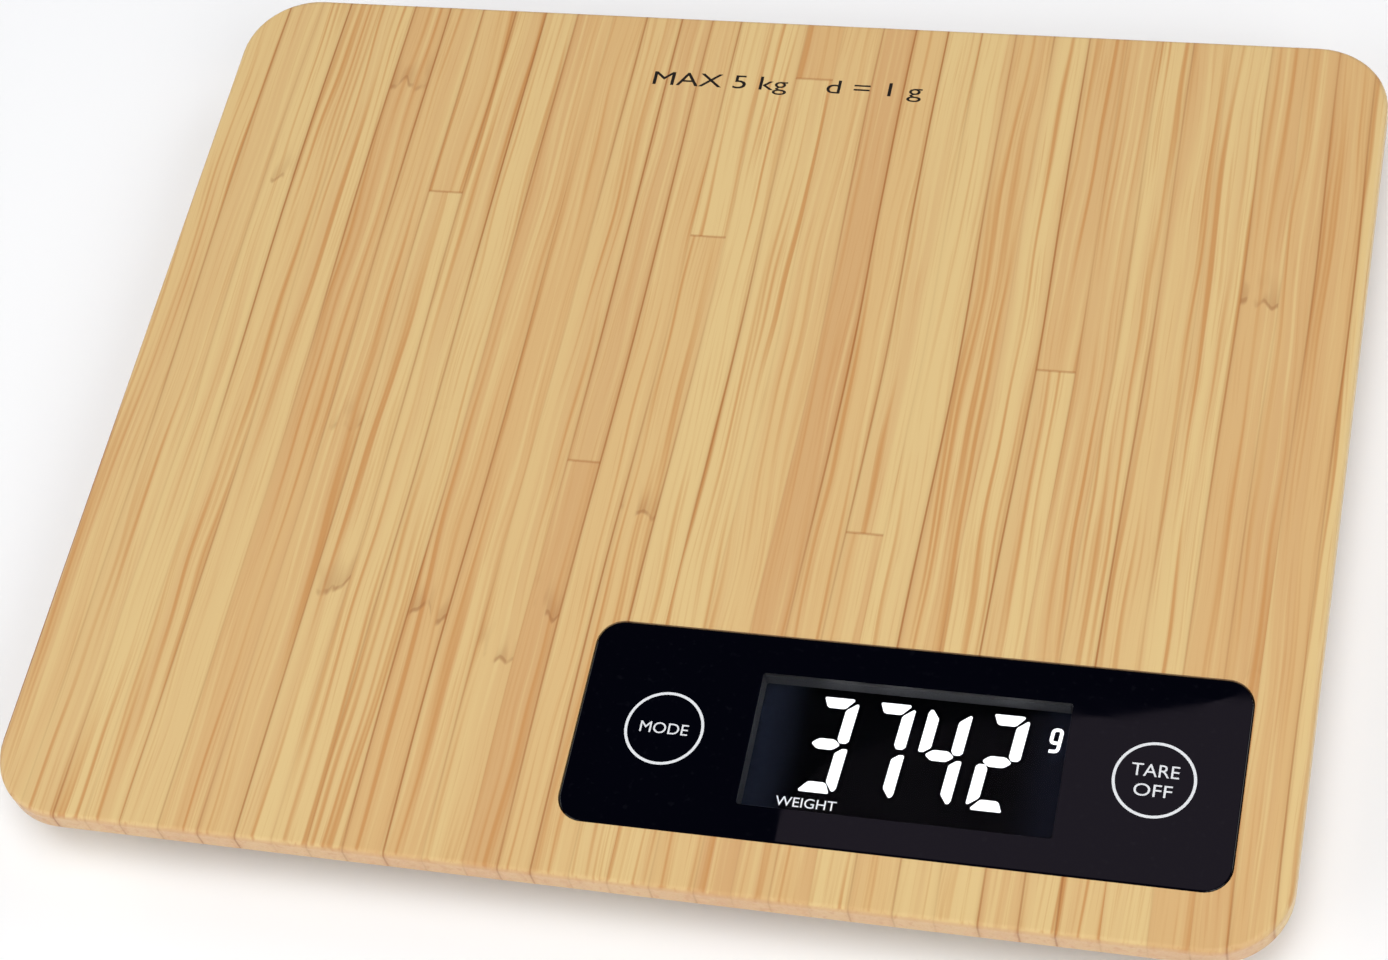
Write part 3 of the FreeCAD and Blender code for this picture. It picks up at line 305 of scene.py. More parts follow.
# %% Bamboo pattern group
def build_slats():
    """Masks for slats, glue lines, butt joints, knuckles with their painted shadow, and fibres at each
    position.
    """
    labels = ["Tone", "Second Tone", "Glue", "Joint", "Knuckle And Shadow", "Fibre", "Streak", "Broad"]
    inputs = [("Position", "NodeSocketVector", None), ("Slat Width", "NodeSocketFloat", SLAT_WIDTH)]
    tree, given, result = new_group("Bamboo Slats", inputs, labels)
    position = given["Position"]
    bend = calc(tree, "SUBTRACT", stretched_noise(tree, position, BEND_GRAIN, 1.0), 0.5)
    axes = add(tree, "ShaderNodeSeparateXYZ", {0: position}).outputs
    bent_x = calc(tree, "ADD", axes[0], calc(tree, "MULTIPLY", bend, SLAT_BEND))
    across = calc(tree, "ADD", calc(tree, "DIVIDE", bent_x, given["Slat Width"]), FIRST_SLAT)
    row = {"W": across, "Scale": 1.0, "Randomness": SLAT_UNEVENNESS}
    one_way = {"voronoi_dimensions": "1D"}
    slats = add(tree, "ShaderNodeTexVoronoi", row, feature="F1", **one_way)
    edges = add(tree, "ShaderNodeTexVoronoi", row, feature="DISTANCE_TO_EDGE", **one_way)
    chance = add(tree, "ShaderNodeSeparateColor", {0: slats.outputs["Color"]}).outputs
    edge_distance = calc(tree, "MULTIPLY", edges.outputs["Distance"], given["Slat Width"])

    start = calc(tree, "MULTIPLY", chance[1], 9.0)
    run = calc(tree, "ADD", calc(tree, "DIVIDE", axes[1], JOINT_SPACING), start)
    share = calc(tree, "FRACT", run)
    nearer = calc(tree, "MINIMUM", share, calc(tree, "SUBTRACT", 1.0, share))
    from_joint = calc(tree, "MULTIPLY", nearer, JOINT_SPACING)
    piece_key = {0: calc(tree, "FLOOR", run), 1: chance[0], 2: chance[2]}
    piece = add(tree, "ShaderNodeCombineXYZ", piece_key).outputs[0]
    piece_chance = add(tree, "ShaderNodeTexWhiteNoise", {"Vector": piece}, noise_dimensions="3D").outputs
    second = add(tree, "ShaderNodeSeparateColor", {0: piece_chance["Color"]}).outputs

    shift = calc_place(tree, "MULTIPLY", piece_chance["Color"], (0.0, 0.7, 0.3))
    own = calc_place(tree, "ADD", position, shift)
    wander = stretched_noise(tree, own, WANDER_GRAIN, 1.0)
    sway = add(tree, "ShaderNodeCombineXYZ", {0: calc(tree, "MULTIPLY", wander, GRAIN_SWAY)}).outputs[0]
    grain_place = calc_place(tree, "ADD", own, sway)
    values = {
        "Tone": second[0],
        "Second Tone": chance[0],
        "Glue": glue_mask(tree, position, edge_distance),
        "Joint": soft_mask(tree, from_joint, 0.1 * MM, 0.4 * MM, 1.0, 0.0),
        "Knuckle And Shadow": knuckle_and_shadow_mask(tree, own, axes[1], second),
        "Fibre": stretched_noise(tree, grain_place, FIBRE_GRAIN, 2.0),
        "Streak": stretched_noise(tree, grain_place, STREAK_GRAIN, 1.0),
        "Broad": stretched_noise(tree, grain_place, BROAD_GRAIN, 1.0),
    }
    for label, value in values.items():
        tree.links.new(value, result[label])
    return tree


slat_pattern = build_slats()
print("group:", slat_pattern.name)

# %% Bamboo finish
PALE_BAMBOO = colour(224, 194, 136)
WARM_BAMBOO = colour(217, 178, 122)
TAN_BAMBOO = colour(210, 166, 114)
FIBRE_BROWN = colour(200, 144, 86)
GLUE_BROWN = colour(164, 100, 48)
KNUCKLE_AND_SHADOW_BROWN = colour(158, 104, 62)
END_TAN = colour(212, 168, 128)


def make_bamboo():
    """Lacquered bamboo, from the slat pattern."""
    constants = {"Roughness": 0.42, "Coat Weight": 0.08, "Coat Roughness": 0.35, "IOR": 1.45}
    material, tree, surface, place = new_finish("lacquered_bamboo", constants)
    slat = use_group(tree, slat_pattern, {"Position": place, "Slat Width": SLAT_WIDTH})
    base = mix_colours(tree, soft_mask(tree, slat["Tone"], 0.1, 0.9), PALE_BAMBOO, WARM_BAMBOO)
    base = mix_colours(tree, soft_mask(tree, slat["Second Tone"], 0.68, 0.95, 0.0, 0.8), base, TAN_BAMBOO)
    base = mix_colours(tree, soft_mask(tree, slat["Broad"], 0.42, 0.72, 0.0, 0.5), base, TAN_BAMBOO)
    base = mix_colours(tree, soft_mask(tree, slat["Streak"], 0.53, 0.74, 0.0, 0.85), base, FIBRE_BROWN)
    base = mix_colours(tree, soft_mask(tree, slat["Streak"], 0.46, 0.28, 0.0, 0.75), base, PALE_BAMBOO)
    base = mix_colours(tree, soft_mask(tree, slat["Fibre"], 0.52, 0.76, 0.0, 0.4), base, FIBRE_BROWN)
    # Knuckle lines in the wood, with a soft shadow painted on one side of each.
    base = mix_colours(tree, calc(tree, "MULTIPLY", slat["Knuckle And Shadow"], 0.6), base, KNUCKLE_AND_SHADOW_BROWN)
    normal = tree.nodes.new("ShaderNodeNewGeometry").outputs["Normal"]
    facing = add(tree, "ShaderNodeSeparateXYZ", {0: normal}).outputs
    end_face = soft_mask(tree, calc(tree, "ABSOLUTE", facing[1]), 0.55, 0.9, 0.0, 0.6)
    base = mix_colours(tree, end_face, base, END_TAN)
    base = mix_colours(tree, calc(tree, "MULTIPLY", slat["Glue"], 0.8), base, GLUE_BROWN)
    base = mix_colours(tree, calc(tree, "MULTIPLY", slat["Joint"], 0.45), base, GLUE_BROWN)
    tree.links.new(base, surface.inputs["Base Color"])
    tree.links.new(soft_mask(tree, slat["Fibre"], 0.3, 0.7, 0.36, 0.5), surface.inputs["Roughness"])
    groove = calc(tree, "ADD", calc(tree, "MULTIPLY", slat["Glue"], 0.6), slat["Joint"])
    relief = calc(tree, "SUBTRACT", calc(tree, "MULTIPLY", slat["Fibre"], 0.35), groove)
    add_bump(tree, surface, relief, 0.04 * MM, 0.5)
    return material


bamboo = make_bamboo()
print("finish:", bamboo.name)

# %% [markdown]
# ## Plastics and rubber
# The housing, the door, the cups of the feet and the inner frames are all injection moulded. What
# sets them apart is their colour, how coarse the mould's texture is, and how much a thumb has
# polished them, so one function makes them all. Rubber is the same surface with a softer, duller skin.

# %% Moulded finishes
def make_moulded(name, shade_255, roughness, grain_mm, depth_mm, patch_mm=30):
    """Moulded plastic or rubber with mould texture and handling patches; sizes in mm."""
    base = colour(*shade_255)
    material, tree, surface, place = new_finish(name, {"IOR": 1.5})
    texture = use_group(tree, mould_texture, {"Position": place, "Grain Size": grain_mm * MM})
    worn = use_group(tree, handling, {"Position": place, "Patch Size": patch_mm * MM})
    lighter = shaded(base, 1.35, 0.004)
    shade = mix_colours(tree, calc(tree, "MULTIPLY", texture["Speckle"], 0.5), base, lighter)
    shade = mix_colours(tree, calc(tree, "MULTIPLY", worn["Scuffs"], 0.35), shade, lighter)
    tree.links.new(shade, surface.inputs["Base Color"])
    gloss = soft_mask(tree, worn["Patches"], 0.0, 1.0, roughness, roughness - 0.06)
    tree.links.new(gloss, surface.inputs["Roughness"])
    add_bump(tree, surface, texture["Height"], depth_mm * MM, 0.7)
    return material


# Name, colour, roughness, grain of the mould, its depth and, if not 30 mm, the size of its patches.
MOULDED = [
    ("housing_plastic", (44, 44, 46), 0.62, 0.45, 0.06),
    ("carrier_plastic", (48, 48, 51), 0.6, 0.3, 0.02),
    ("foot_plastic", (56, 56, 59), 0.5, 0.3, 0.02),
    ("clamp_plastic", (214, 212, 205), 0.5, 0.4, 0.02),
    ("foot_rubber", (30, 30, 31), 0.85, 0.25, 0.05, 8),
    ("carrier_rubber", (120, 120, 124), 0.8, 0.3, 0.03),
    ("conductive_foam", (86, 86, 88), 0.9, 0.7, 0.3),
    ("gauge_sealant", (232, 231, 226), 0.45, 0.6, 0.04),
    ("foam_tape", (226, 225, 218), 0.7, 0.3, 0.03),
    ("milky_plastic", (238, 241, 245), 0.3, 0.6, 0.01),
    ("chip_epoxy", (22, 22, 23), 0.28, 0.9, 0.03),
    ("lead_red", (176, 32, 30), 0.45, 0.3, 0.01),
    ("lead_black", (30, 30, 30), 0.45, 0.3, 0.01),
]
finishes = {"bamboo": bamboo}
for name, *looks in MOULDED:
    finishes[name] = make_moulded(name, *looks)
print("moulded finishes:", len(finishes))

# %% [markdown]
# ## Metals
# Screws, load cells, contacts and coin cells are steel with different platings. A metal has no
# colour of its own under the surface: the base colour is its reflection, so the detail goes into
# fine drawn lines that change the roughness and tilt the light.

# %% Metal finishes
def make_metal(name, base, roughness, line_width=0.09 * MM):
    """Plated or rolled metal with fine drawn lines and a little tarnish."""
    material, tree, surface, place = new_finish(name, {"Metallic": 1.0})
    lines = use_group(tree, drawn_lines, {"Position": place, "Line Width": line_width})
    worn = use_group(tree, handling, {"Position": place, "Patch Size": 6 * MM})
    duller = shaded(base, 0.72)
    shade = mix_colours(tree, calc(tree, "MULTIPLY", worn["Patches"], 0.35), base, duller)
    tree.links.new(shade, surface.inputs["Base Color"])
    gloss = soft_mask(tree, lines["Tone"], 0.0, 1.0, roughness - 0.08, roughness + 0.1)
    tree.links.new(gloss, surface.inputs["Roughness"])
    add_bump(tree, surface, lines["Height"], 0.01 * MM, 0.5)
    return material


finishes["zinc_steel"] = make_metal("zinc_steel", colour(205, 206, 204), 0.32)
finishes["cell_steel"] = make_metal("cell_steel", colour(188, 188, 190), 0.36, 0.14 * MM)
finishes["coin_steel"] = make_metal("coin_steel", colour(214, 214, 212), 0.24)
finishes["nickel_contact"] = make_metal("nickel_contact", colour(212, 206, 192), 0.28)
finishes["label_foil"] = make_metal("label_foil", colour(206, 207, 210), 0.45, 0.2 * MM)
print("metal finishes:", sum(m.name.endswith(("steel", "contact", "foil")) for m in finishes.values()))

# %% [markdown]
# ## Gloss panel, lens and display
# The panel is one glossy black plate. Its depth of shine is what sells it, so its only detail is
# what a real one shows: broad smudges that change the shine a little, and fine wiping marks. The
# lens is clear. Its index is 1.12, lower than real clear plastic, which is about 1.49, because at
# 1.49 it mirrors the room and greys the figures. The low value stands for an anti-glare coat. The
# dark glass of the display below shades from navy at its left edge to black.

# %% Gloss black
GLOSS_BLACK = (0.0006, 0.0006, 0.0022, 1.0)
DUST_GREY = (0.02, 0.02, 0.024, 1.0)


def make_gloss_black():
    """High-gloss black with smudges in its shine."""
    material, tree, surface, place = new_finish("gloss_black", {"Coat Weight": 0.0, "IOR": 1.49})
    worn = use_group(tree, handling, {"Position": place, "Patch Size": 18 * MM})
    wipes = use_group(tree, drawn_lines, {"Position": place, "Line Width": 0.4 * MM})
    shine = soft_mask(tree, worn["Patches"], 0.0, 1.0, 0.008, 0.03)
    shine = calc(tree, "ADD", shine, calc(tree, "MULTIPLY", wipes["Tone"], 0.006))
    tree.links.new(shine, surface.inputs["Roughness"])
    dust = calc(tree, "MULTIPLY", worn["Scuffs"], 0.1)
    tree.links.new(mix_colours(tree, dust, GLOSS_BLACK, DUST_GREY), surface.inputs["Base Color"])
    return material


finishes["panel_gloss"] = make_gloss_black()

# %% Clear lens
WHITE = (1.0, 1.0, 1.0, 1.0)
LENS_INDEX = 1.12


def make_clear_lens():
    """Clear polished plastic, with the faintest waviness of a moulded face."""
    constants = {"Base Color": WHITE, "Roughness": 0.0, "IOR": LENS_INDEX, "Transmission Weight": 1.0}
    material, tree, surface, place = new_finish("clear_lens", constants)
    wave = add(tree, "ShaderNodeTexNoise", {"Vector": place, "Scale": 60.0, "Detail": 1.0})
    add_bump(tree, surface, wave.outputs[0], 0.01 * MM, 0.4)
    return material


finishes["clear_lens"] = make_clear_lens()

# %% Display glass
NAVY = colour(27, 32, 44)
DEEP_NAVY = colour(14, 18, 30)
NEAR_BLACK = colour(0, 0, 1)
LEFT_FADE = 10 * MM
RIGHT_FADE = 9 * MM


def make_display_glass():
    """Dark display face: navy at the left, black behind the figures, faintly navy at the right."""
    material, tree, surface, place = new_finish("display_glass", {"IOR": 1.5, "Specular IOR Level": 0.06})
    axes = add(tree, "ShaderNodeSeparateXYZ", {0: place}).outputs
    left = soft_mask(tree, axes[0], lens_low.x, lens_low.x + LEFT_FADE, 1.0, 0.0)
    right = soft_mask(tree, axes[0], lens_high.x - RIGHT_FADE, lens_high.x, 0.0, 1.0)
    mottle = add(tree, "ShaderNodeTexNoise", {"Vector": place, "Scale": 900.0, "Detail": 2.0}).outputs[0]
    patchy = soft_mask(tree, mottle, 0.2, 0.8, 0.85, 1.0)
    base = mix_colours(tree, calc(tree, "MULTIPLY", left, patchy), NEAR_BLACK, NAVY)
    base = mix_colours(tree, calc(tree, "MULTIPLY", right, patchy), base, DEEP_NAVY)
    tree.links.new(base, surface.inputs["Base Color"])
    tree.links.new(soft_mask(tree, mottle, 0.3, 0.7, 0.3, 0.36), surface.inputs["Roughness"])
    return material


finishes["lcd_film"] = make_display_glass()

# %% Circuit board finish
def make_circuit_green():
    """Green solder mask over copper tracks that show as slightly lighter lines."""
    material, tree, surface, place = new_finish("circuit_green", {"Roughness": 0.38, "IOR": 1.5})
    cells = {"Vector": place, "Scale": 260.0}
    squares = {"distance": "CHEBYCHEV", "feature": "F2"}
    tracks = add(tree, "ShaderNodeTexVoronoi", cells, **squares).outputs["Distance"]
    lines = calc(tree, "PINGPONG", tracks, 0.22)
    mask = soft_mask(tree, lines, 0.11, 0.13)
    green = mix_colours(tree, mask, colour(18, 84, 44), colour(34, 118, 62))
    tree.links.new(green, surface.inputs["Base Color"])
    add_bump(tree, surface, mask, 0.03 * MM, 0.6)
    return material


finishes["fibre_board"] = make_circuit_green()
print("finishes:", len(finishes))

# %% [markdown]
# ## Dressing the CAD nodes
# The record says which material slot each node belongs to, so one loop dresses them all. A node's
# mesh is never touched: only its material slot is filled.

# %% Dress every node
for part in frame["record"]["subparts"]:
    node_object = frame["nodes"][part["node"]]
    node_object.data.materials.clear()
    node_object.data.materials.append(finishes[part["material_slot"]])

# %% [markdown]
# ## Ink and light
# White legends are screen printed. Ink lies two hundredths of a millimetre proud, with a fine dot
# texture. The lit segments of the display give out their own light, a cool white that is a little
# uneven, as light through a milky film is.

# %% Ink finishes
COOL_WHITE = (0.9, 0.93, 0.98, 1.0)


def make_ink(name, base, roughness):
    """Screen-printed ink with a fine dot texture."""
    material, tree, surface, place = new_finish(name, {"IOR": 1.5})
    texture = use_group(tree, mould_texture, {"Position": place, "Grain Size": 0.15 * MM})
    dots = texture["Speckle"]
    tree.links.new(mix_colours(tree, dots, base, shaded(base, 0.82)), surface.inputs["Base Color"])
    gloss = soft_mask(tree, dots, 0.0, 1.0, roughness, roughness + 0.1)
    tree.links.new(gloss, surface.inputs["Roughness"])
    return material


def make_lit(name, strength):
    """Lit display segment: cool white, a little uneven like light through a milky film."""
    constants = {"Base Color": (0.02, 0.02, 0.02, 1.0), "Roughness": 0.4, "Emission Strength": strength}
    material, tree, surface, place = new_finish(name, constants)
    cloud = add(tree, "ShaderNodeTexNoise", {"Vector": place, "Scale": 350.0, "Detail": 1.0}).outputs[0]
    glow = mix_colours(tree, soft_mask(tree, cloud, 0.3, 0.7), WHITE, COOL_WHITE)
    tree.links.new(glow, surface.inputs["Emission Color"])
    return material


white_ink = make_ink("white_ink", colour(236, 238, 240), 0.4)
dark_ink = make_ink("dark_ink", colour(34, 28, 24), 0.5)
gasket_grey = make_ink("gasket_grey", colour(66, 67, 72), 0.7)
label_ink = make_ink("label_ink", colour(52, 53, 56), 0.5)
lit_segment = make_lit("lit_segment", 1.5)
dim_segment = make_lit("lit_legend", 0.9)
print("inks and lights ready")

# %% [markdown]
# ## Flat pieces from outlines
# Printed rings, letters and display segments are all thin flat pieces. Each is drawn as an outline,
# its corners are rounded by a small arc, and the outline is filled and given its thickness.

# %% Outline helpers
CORNER_STEPS = 4


def round_corners(points, radii):
    """Replace each corner of an outline by a short arc of its own radius."""
    smooth = []
    count = len(points)
    for i, (corner, radius) in enumerate(zip(points, radii)):
        before = (points[i - 1] - corner).normalized()
        after = (points[(i + 1) % count] - corner).normalized()
        half = before.angle(after) / 2
        reach = radius / math.tan(half)
        start, end = corner + before * reach, corner + after * reach
        centre = corner + (before + after).normalized() * (radius / math.sin(half))
        for step in range(CORNER_STEPS + 1):
            share = step / CORNER_STEPS
            spoke = (start - centre).lerp(end - centre, share).normalized() * radius
            smooth.append(centre + spoke)
    return smooth


def bridge(mesh, first, second):
    """Join two closed rows of points by a band of faces."""
    for i in range(len(first)):
        j = (i + 1) % len(first)
        mesh.faces.new((first[i], first[j], second[j], second[i]))


def bridge_round(mesh, rows):
    """Join each closed row to the next and the last to the first."""
    for first, second in zip(rows, rows[1:] + rows[:1]):
        bridge(mesh, first, second)


def add_slab(mesh, outline, low, thick):
    """Add one filled outline, thick metres high, to a bmesh."""
    under = [mesh.verts.new((p.x, p.y, low)) for p in outline]
    over = [mesh.verts.new((p.x, p.y, low + thick)) for p in outline]
    mesh.faces.new(over)
    mesh.faces.new(list(reversed(under)))
    bridge(mesh, under, over)


def rectangle(left, front, right, rear):
    """The corners of a rectangle, in turn from the front left."""
    return [Vector(corner) for corner in ((left, front), (right, front), (right, rear), (left, rear))]


def link_object(name, data):
    """Put mesh, lamp or camera data in the scene under a name."""
    holder = bpy.data.objects.new(name, data)
    bpy.context.scene.collection.objects.link(holder)
    return holder


def mesh_data(name, mesh, material):
    """Turn a bmesh into plain mesh data with one material."""
    data = bpy.data.meshes.new(name)
    mesh.to_mesh(data)
    mesh.free()
    data.materials.append(material)
    return data


def make_object(name, mesh, material):
    """Turn a bmesh into an object with one finish."""
    bmesh.ops.recalc_face_normals(mesh, faces=mesh.faces)
    piece = link_object(name, mesh_data(name, mesh, material))
    return piece


def finish_piece(name, mesh, material, body):
    """Turn a bmesh into a piece that rides on a body."""
    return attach(make_object(name, mesh, material), body)


# %% [markdown]
# ## Touch-key rings
# Each touch key is marked by a thin printed ring. A flat washer would do, but its inner and outer
# edges are drawn here as separate circles so that the line keeps its half millimetre all round.

# %% Rings
RING_RADIUS = 6.78 * MM
RING_LINE = 0.5 * MM
RING_STEPS = 96
INK_THICK = 0.02 * MM


def make_ring(name, centre):
    """Printed ring, with its top, underside and both rims."""
    mesh = bmesh.new()
    turn = [2 * math.pi * i / RING_STEPS for i in range(RING_STEPS)]
    rims = []
    for radius in (RING_RADIUS - RING_LINE / 2, RING_RADIUS + RING_LINE / 2):
        circle = [(centre.x + radius * math.cos(a), centre.y + radius * math.sin(a)) for a in turn]
        for level in (panel_high.z, panel_high.z + INK_THICK):
            rims.append([mesh.verts.new((x, y, level)) for x, y in circle])
    bridge_round(mesh, [rims[0], rims[1], rims[3], rims[2]])
    return finish_piece(name, mesh, white_ink, "scale")


for side, centre in zip(("left", "right"), key_centres):
    ring = make_ring("key_ring_" + side, centre)
    print(ring.name, "at %.1f, %.1f mm" % (centre.x / MM, centre.y / MM))

# %% [markdown]
# ## Printed words
# The legends are plain words set in Blender's own typeface. A text object is turned into a mesh
# first, and only then scaled and moved into its box, so that its place is in its mesh.

# %% Text helper
def plain_mesh(holder):
    """The evaluated mesh of an object, which is then removed."""
    depsgraph = bpy.context.evaluated_depsgraph_get()
    data = bpy.data.meshes.new_from_object(holder.evaluated_get(depsgraph))
    bpy.data.objects.remove(holder)
    return data


def make_words(name, words, centre, size_mm, level, material, slot):
    """Set words in a box of a given width and height in mm, lying flat at a level."""
    curve = bpy.data.curves.new(name, "FONT")
    curve.body = words
    curve.extrude = 0.5
    curve.resolution_u = 6
    data = plain_mesh(link_object(name + "_text", curve))
    mesh = bmesh.new()
    mesh.from_mesh(data)
    bpy.data.meshes.remove(data)
    bmesh.ops.remove_doubles(mesh, verts=mesh.verts, dist=1e-5)
    xs = [v.co.x for v in mesh.verts]
    ys = [v.co.y for v in mesh.verts]
    middle = Vector(((min(xs) + max(xs)) / 2, (min(ys) + max(ys)) / 2))
    scale_x = size_mm[0] * MM / (max(xs) - min(xs))
    scale_y = size_mm[1] * MM / (max(ys) - min(ys))
    for vertex in mesh.verts:
        x, y = (vertex.co.x - middle.x) * scale_x, (vertex.co.y - middle.y) * scale_y
        lift = INK_THICK if vertex.co.z > 0 else 0.0
        vertex.co = (centre.x + x, centre.y + y, level + lift)
    print(name, "%.1f x %.1f mm" % size_mm)
    return finish_piece(name, mesh, material, "scale")


# %% Legends on the panel
LEGENDS = {
    "MODE": (key_centres[0], 0.0, (8.6, 2.1)),
    "TARE": (key_centres[1], 1.75 * MM, (8.0, 2.3)),
    "OFF": (key_centres[1], -1.95 * MM, (6.4, 2.3)),
}
for word, (key, rise, size) in LEGENDS.items():
    centre = key + Vector((0.0, rise))
    make_words("legend_" + word.lower(), word, centre, size, panel_high.z, white_ink, "panel_gloss")

# %% Capacity marking on the platform
MARK_BACK = 16.2 * MM
MARK_WORDS = "MAX 5 kg    d = 1 g"
mark_centre = Vector((0.0, board_high.y - MARK_BACK))
make_words("capacity_mark", MARK_WORDS, mark_centre, (54.0, 4.3), board_high.z, dark_ink, "bamboo")
print("marking stands %.0f mm from the rear edge" % (MARK_BACK / MM))

# %% [markdown]
# ## The lit display
# A seven-segment digit is three level bars and four upright ones. The level bars at the top and
# bottom are trapeziums, the middle one is pointed at both ends, and the uprights are cut on the
# slant where they meet. A table says which bars each figure lights, and the whole figure leans a
# few degrees. The digits lie on the display glass, under the lens, so they keep their real parallax.

# %% Segment shapes
DIGIT_WIDTH = 7.66 * MM
DIGIT_HEIGHT = 18.1 * MM
BAR = 2.05 * MM
LEAN = math.tan(math.radians(5.0))

FIGURES = {
    "2": "top upper_right middle lower_left bottom",
    "3": "top upper_right middle lower_right bottom",
    "4": "upper_left middle upper_right lower_right",
    "7": "top upper_right lower_right",
}


def turned_round(corners):
    """Turn an outline half round about the digit's middle."""
    return [(-x, -y, radius) for x, y, radius in corners]


def shifted(corners, right, up):
    """Move an outline."""
    return [(x + right, y + up, radius) for x, y, radius in corners]


def leaning(points, centre):
    """Put an outline at its centre and let it lean."""
    return [Vector((centre.x + p.x + LEAN * p.y, centre.y + p.y)) for p in points]


def segment_outlines():
    """Outlines of the seven bars about the digit's own middle, each corner with its radius, in mm."""
    side, head, bar = DIGIT_WIDTH / 2 / MM, DIGIT_HEIGHT / 2 / MM, BAR / MM
    shapes = {
        "top": [
            (side - 0.65, head, 0.3),
            (side - 6.35, head, 0.2),
            (side - 5.35, head - bar, 0.9),
            (side - 2.25, head - bar, 0.9),
        ],
        "upper_right": [
            (side, head - 0.55, 0.3),
            (side - bar, head - 2.3, 0.9),
            (side - bar, 1.2, 0.5),
            (side - bar + 0.5, 0.42, 0.4),
            (side - 0.45, 0.42, 0.3),
            (side, 0.9, 0.4),
        ],
        "lower_right": [
            (side, -0.42, 0.3),
            (side - 0.9, -0.42, 0.4),
            (side - bar, -1.35, 0.6),
            (side - bar, 2.1 - head, 0.8),
            (side - 0.75, 0.45 - head, 0.3),
            (side - 0.3, 0.45 - head, 0.3),
            (side, 1.1 - head, 0.3),
        ],
        "middle": [
            (2.56, 0.0, 0.35),
            (1.35, bar / 2, 1.3),
            (-1.35, bar / 2, 1.3),
            (-2.56, 0.0, 0.35),
            (-1.35, -bar / 2, 1.3),
            (1.35, -bar / 2, 1.3),
        ],
    }
    shapes["bottom"] = shifted(turned_round(shapes["top"]), 0.5, -0.3)
    shapes["lower_left"] = shifted(turned_round(shapes["upper_right"]), 0.5, -0.25)
    shapes["upper_left"] = turned_round(shapes["lower_right"])
    shapes["lower_right"] = shifted(shapes["lower_right"], 0.2, -0.2)
    return shapes


# %% Digits
READING = "3742"
FIRST_DIGIT = 12.45 * MM
DIGIT_PITCH = 9.92 * MM
DIGIT_RISE = 2.05 * MM
window_middle = ((lens_low + lens_high) / 2).to_2d()


def make_digit(name, figure, centre):
    """One leaning digit made of the bars that its figure lights."""
    mesh = bmesh.new()
    shapes = segment_outlines()
    for bar in FIGURES[figure].split():
        points = [Vector((x, y)) * MM for x, y, _ in shapes[bar]]
        outline = round_corners(points, [radius * MM for _, _, radius in shapes[bar]])
        add_slab(mesh, leaning(outline, centre), display_level, INK_THICK)
    return finish_piece(name, mesh, lit_segment, "scale")


for place, figure in enumerate(READING):
    centre = Vector((lens_low.x + FIRST_DIGIT + place * DIGIT_PITCH, window_middle.y + DIGIT_RISE))
    make_digit("digit_%d" % (place + 1), figure, centre)
print("reading:", READING)

# %% [markdown]
# ## The unit and the mode word
# The small letter beside the digits shows that the reading is in grams. It is one stroke of even
# width, so it is made as a flat ribbon that follows a path, with its turns rounded. The mode word at
# the window's lower left is set as the printed words are, in the dimmer light.

# %% Stroke helper
def add_stroke(mesh, path, width, low, thick):
    """Add a flat stroke of one width along a path."""
    last = len(path) - 1
    rows = []
    for i, point in enumerate(path):
        ahead = (path[min(i + 1, last)] - path[max(i - 1, 0)]).normalized()
        aside = Vector((-ahead.y, ahead.x)) * (width / 2)
        left, right, high = point + aside, point - aside, low + thick
        corners = [(left, low), (right, low), (right, high), (left, high)]
        rows.append([mesh.verts.new((p.x, p.y, z)) for p, z in corners])
    for first, second in zip(rows, rows[1:]):
        bridge(mesh, first, second)
    mesh.faces.new(rows[0])
    mesh.faces.new(list(reversed(rows[-1])))


# %% Unit letter
LETTER_WIDTH = 1.5 * MM
LETTER_HEIGHT = 4.1 * MM
BOWL_HEIGHT = 2.5 * MM
LETTER_STROKE = 0.62 * MM
LETTER_TURN = 0.7 * MM
TURN_STEPS = 6
LETTER_PLACE = Vector((51.5 * MM, 7.2 * MM))


def rounded_path(corners, radius):
    """A path through corners, with each inner corner turned along an arc."""
    path = [corners[0]]
    for before, corner, after in zip(corners, corners[1:], corners[2:]):
        start = corner + (before - corner).normalized() * radius
        end = corner + (after - corner).normalized() * radius
        for step in range(TURN_STEPS + 1):
            share = step / TURN_STEPS
            path.append(start.lerp(corner, share).lerp(corner.lerp(end, share), share))
    return path + [corners[-1]]


def make_unit_letter(centre):
    """A single-storey g: a bowl, and a stem that hooks back to the left."""
    right, top = LETTER_WIDTH / 2, LETTER_HEIGHT / 2
    bowl_foot = top - BOWL_HEIGHT
    stem_inside = right - LETTER_STROKE / 2
    bowl = [(stem_inside, bowl_foot), (-right, bowl_foot), (-right, top), (right, top)]
    hook = [(right, -top), (-right, -top)]
    path = rounded_path([Vector(corner) for corner in bowl + hook], LETTER_TURN)
    mesh = bmesh.new()
    add_stroke(mesh, leaning(path, centre), LETTER_STROKE, display_level, INK_THICK)
    return finish_piece("unit_letter", mesh, lit_segment, "scale")


window_left_middle = Vector((lens_low.x, window_middle.y))
letter = make_unit_letter(window_left_middle + LETTER_PLACE)
print("unit letter %.1f x %.1f mm" % tuple(letter.dimensions.xy / MM))

# %% Mode word of the display
WORD_PLACE = Vector((11.1 * MM, -9.5 * MM))
word_centre = window_left_middle + WORD_PLACE
word_looks = (display_level, dim_segment, "milky_plastic")
make_words("display_word", "WEIGHT", word_centre, (10.6, 1.8), *word_looks)

# %% [markdown]
# ## The lens
# The CAD lens is a plain clear slab. On the real panel its rim is bonded to the black frame, so no
# light comes through its side. This piece stands for it: the same slab with rounded corners, clear
# faces above and below, and a black rim.

# %% Lens
WINDOW_CORNER = 0.5 * MM


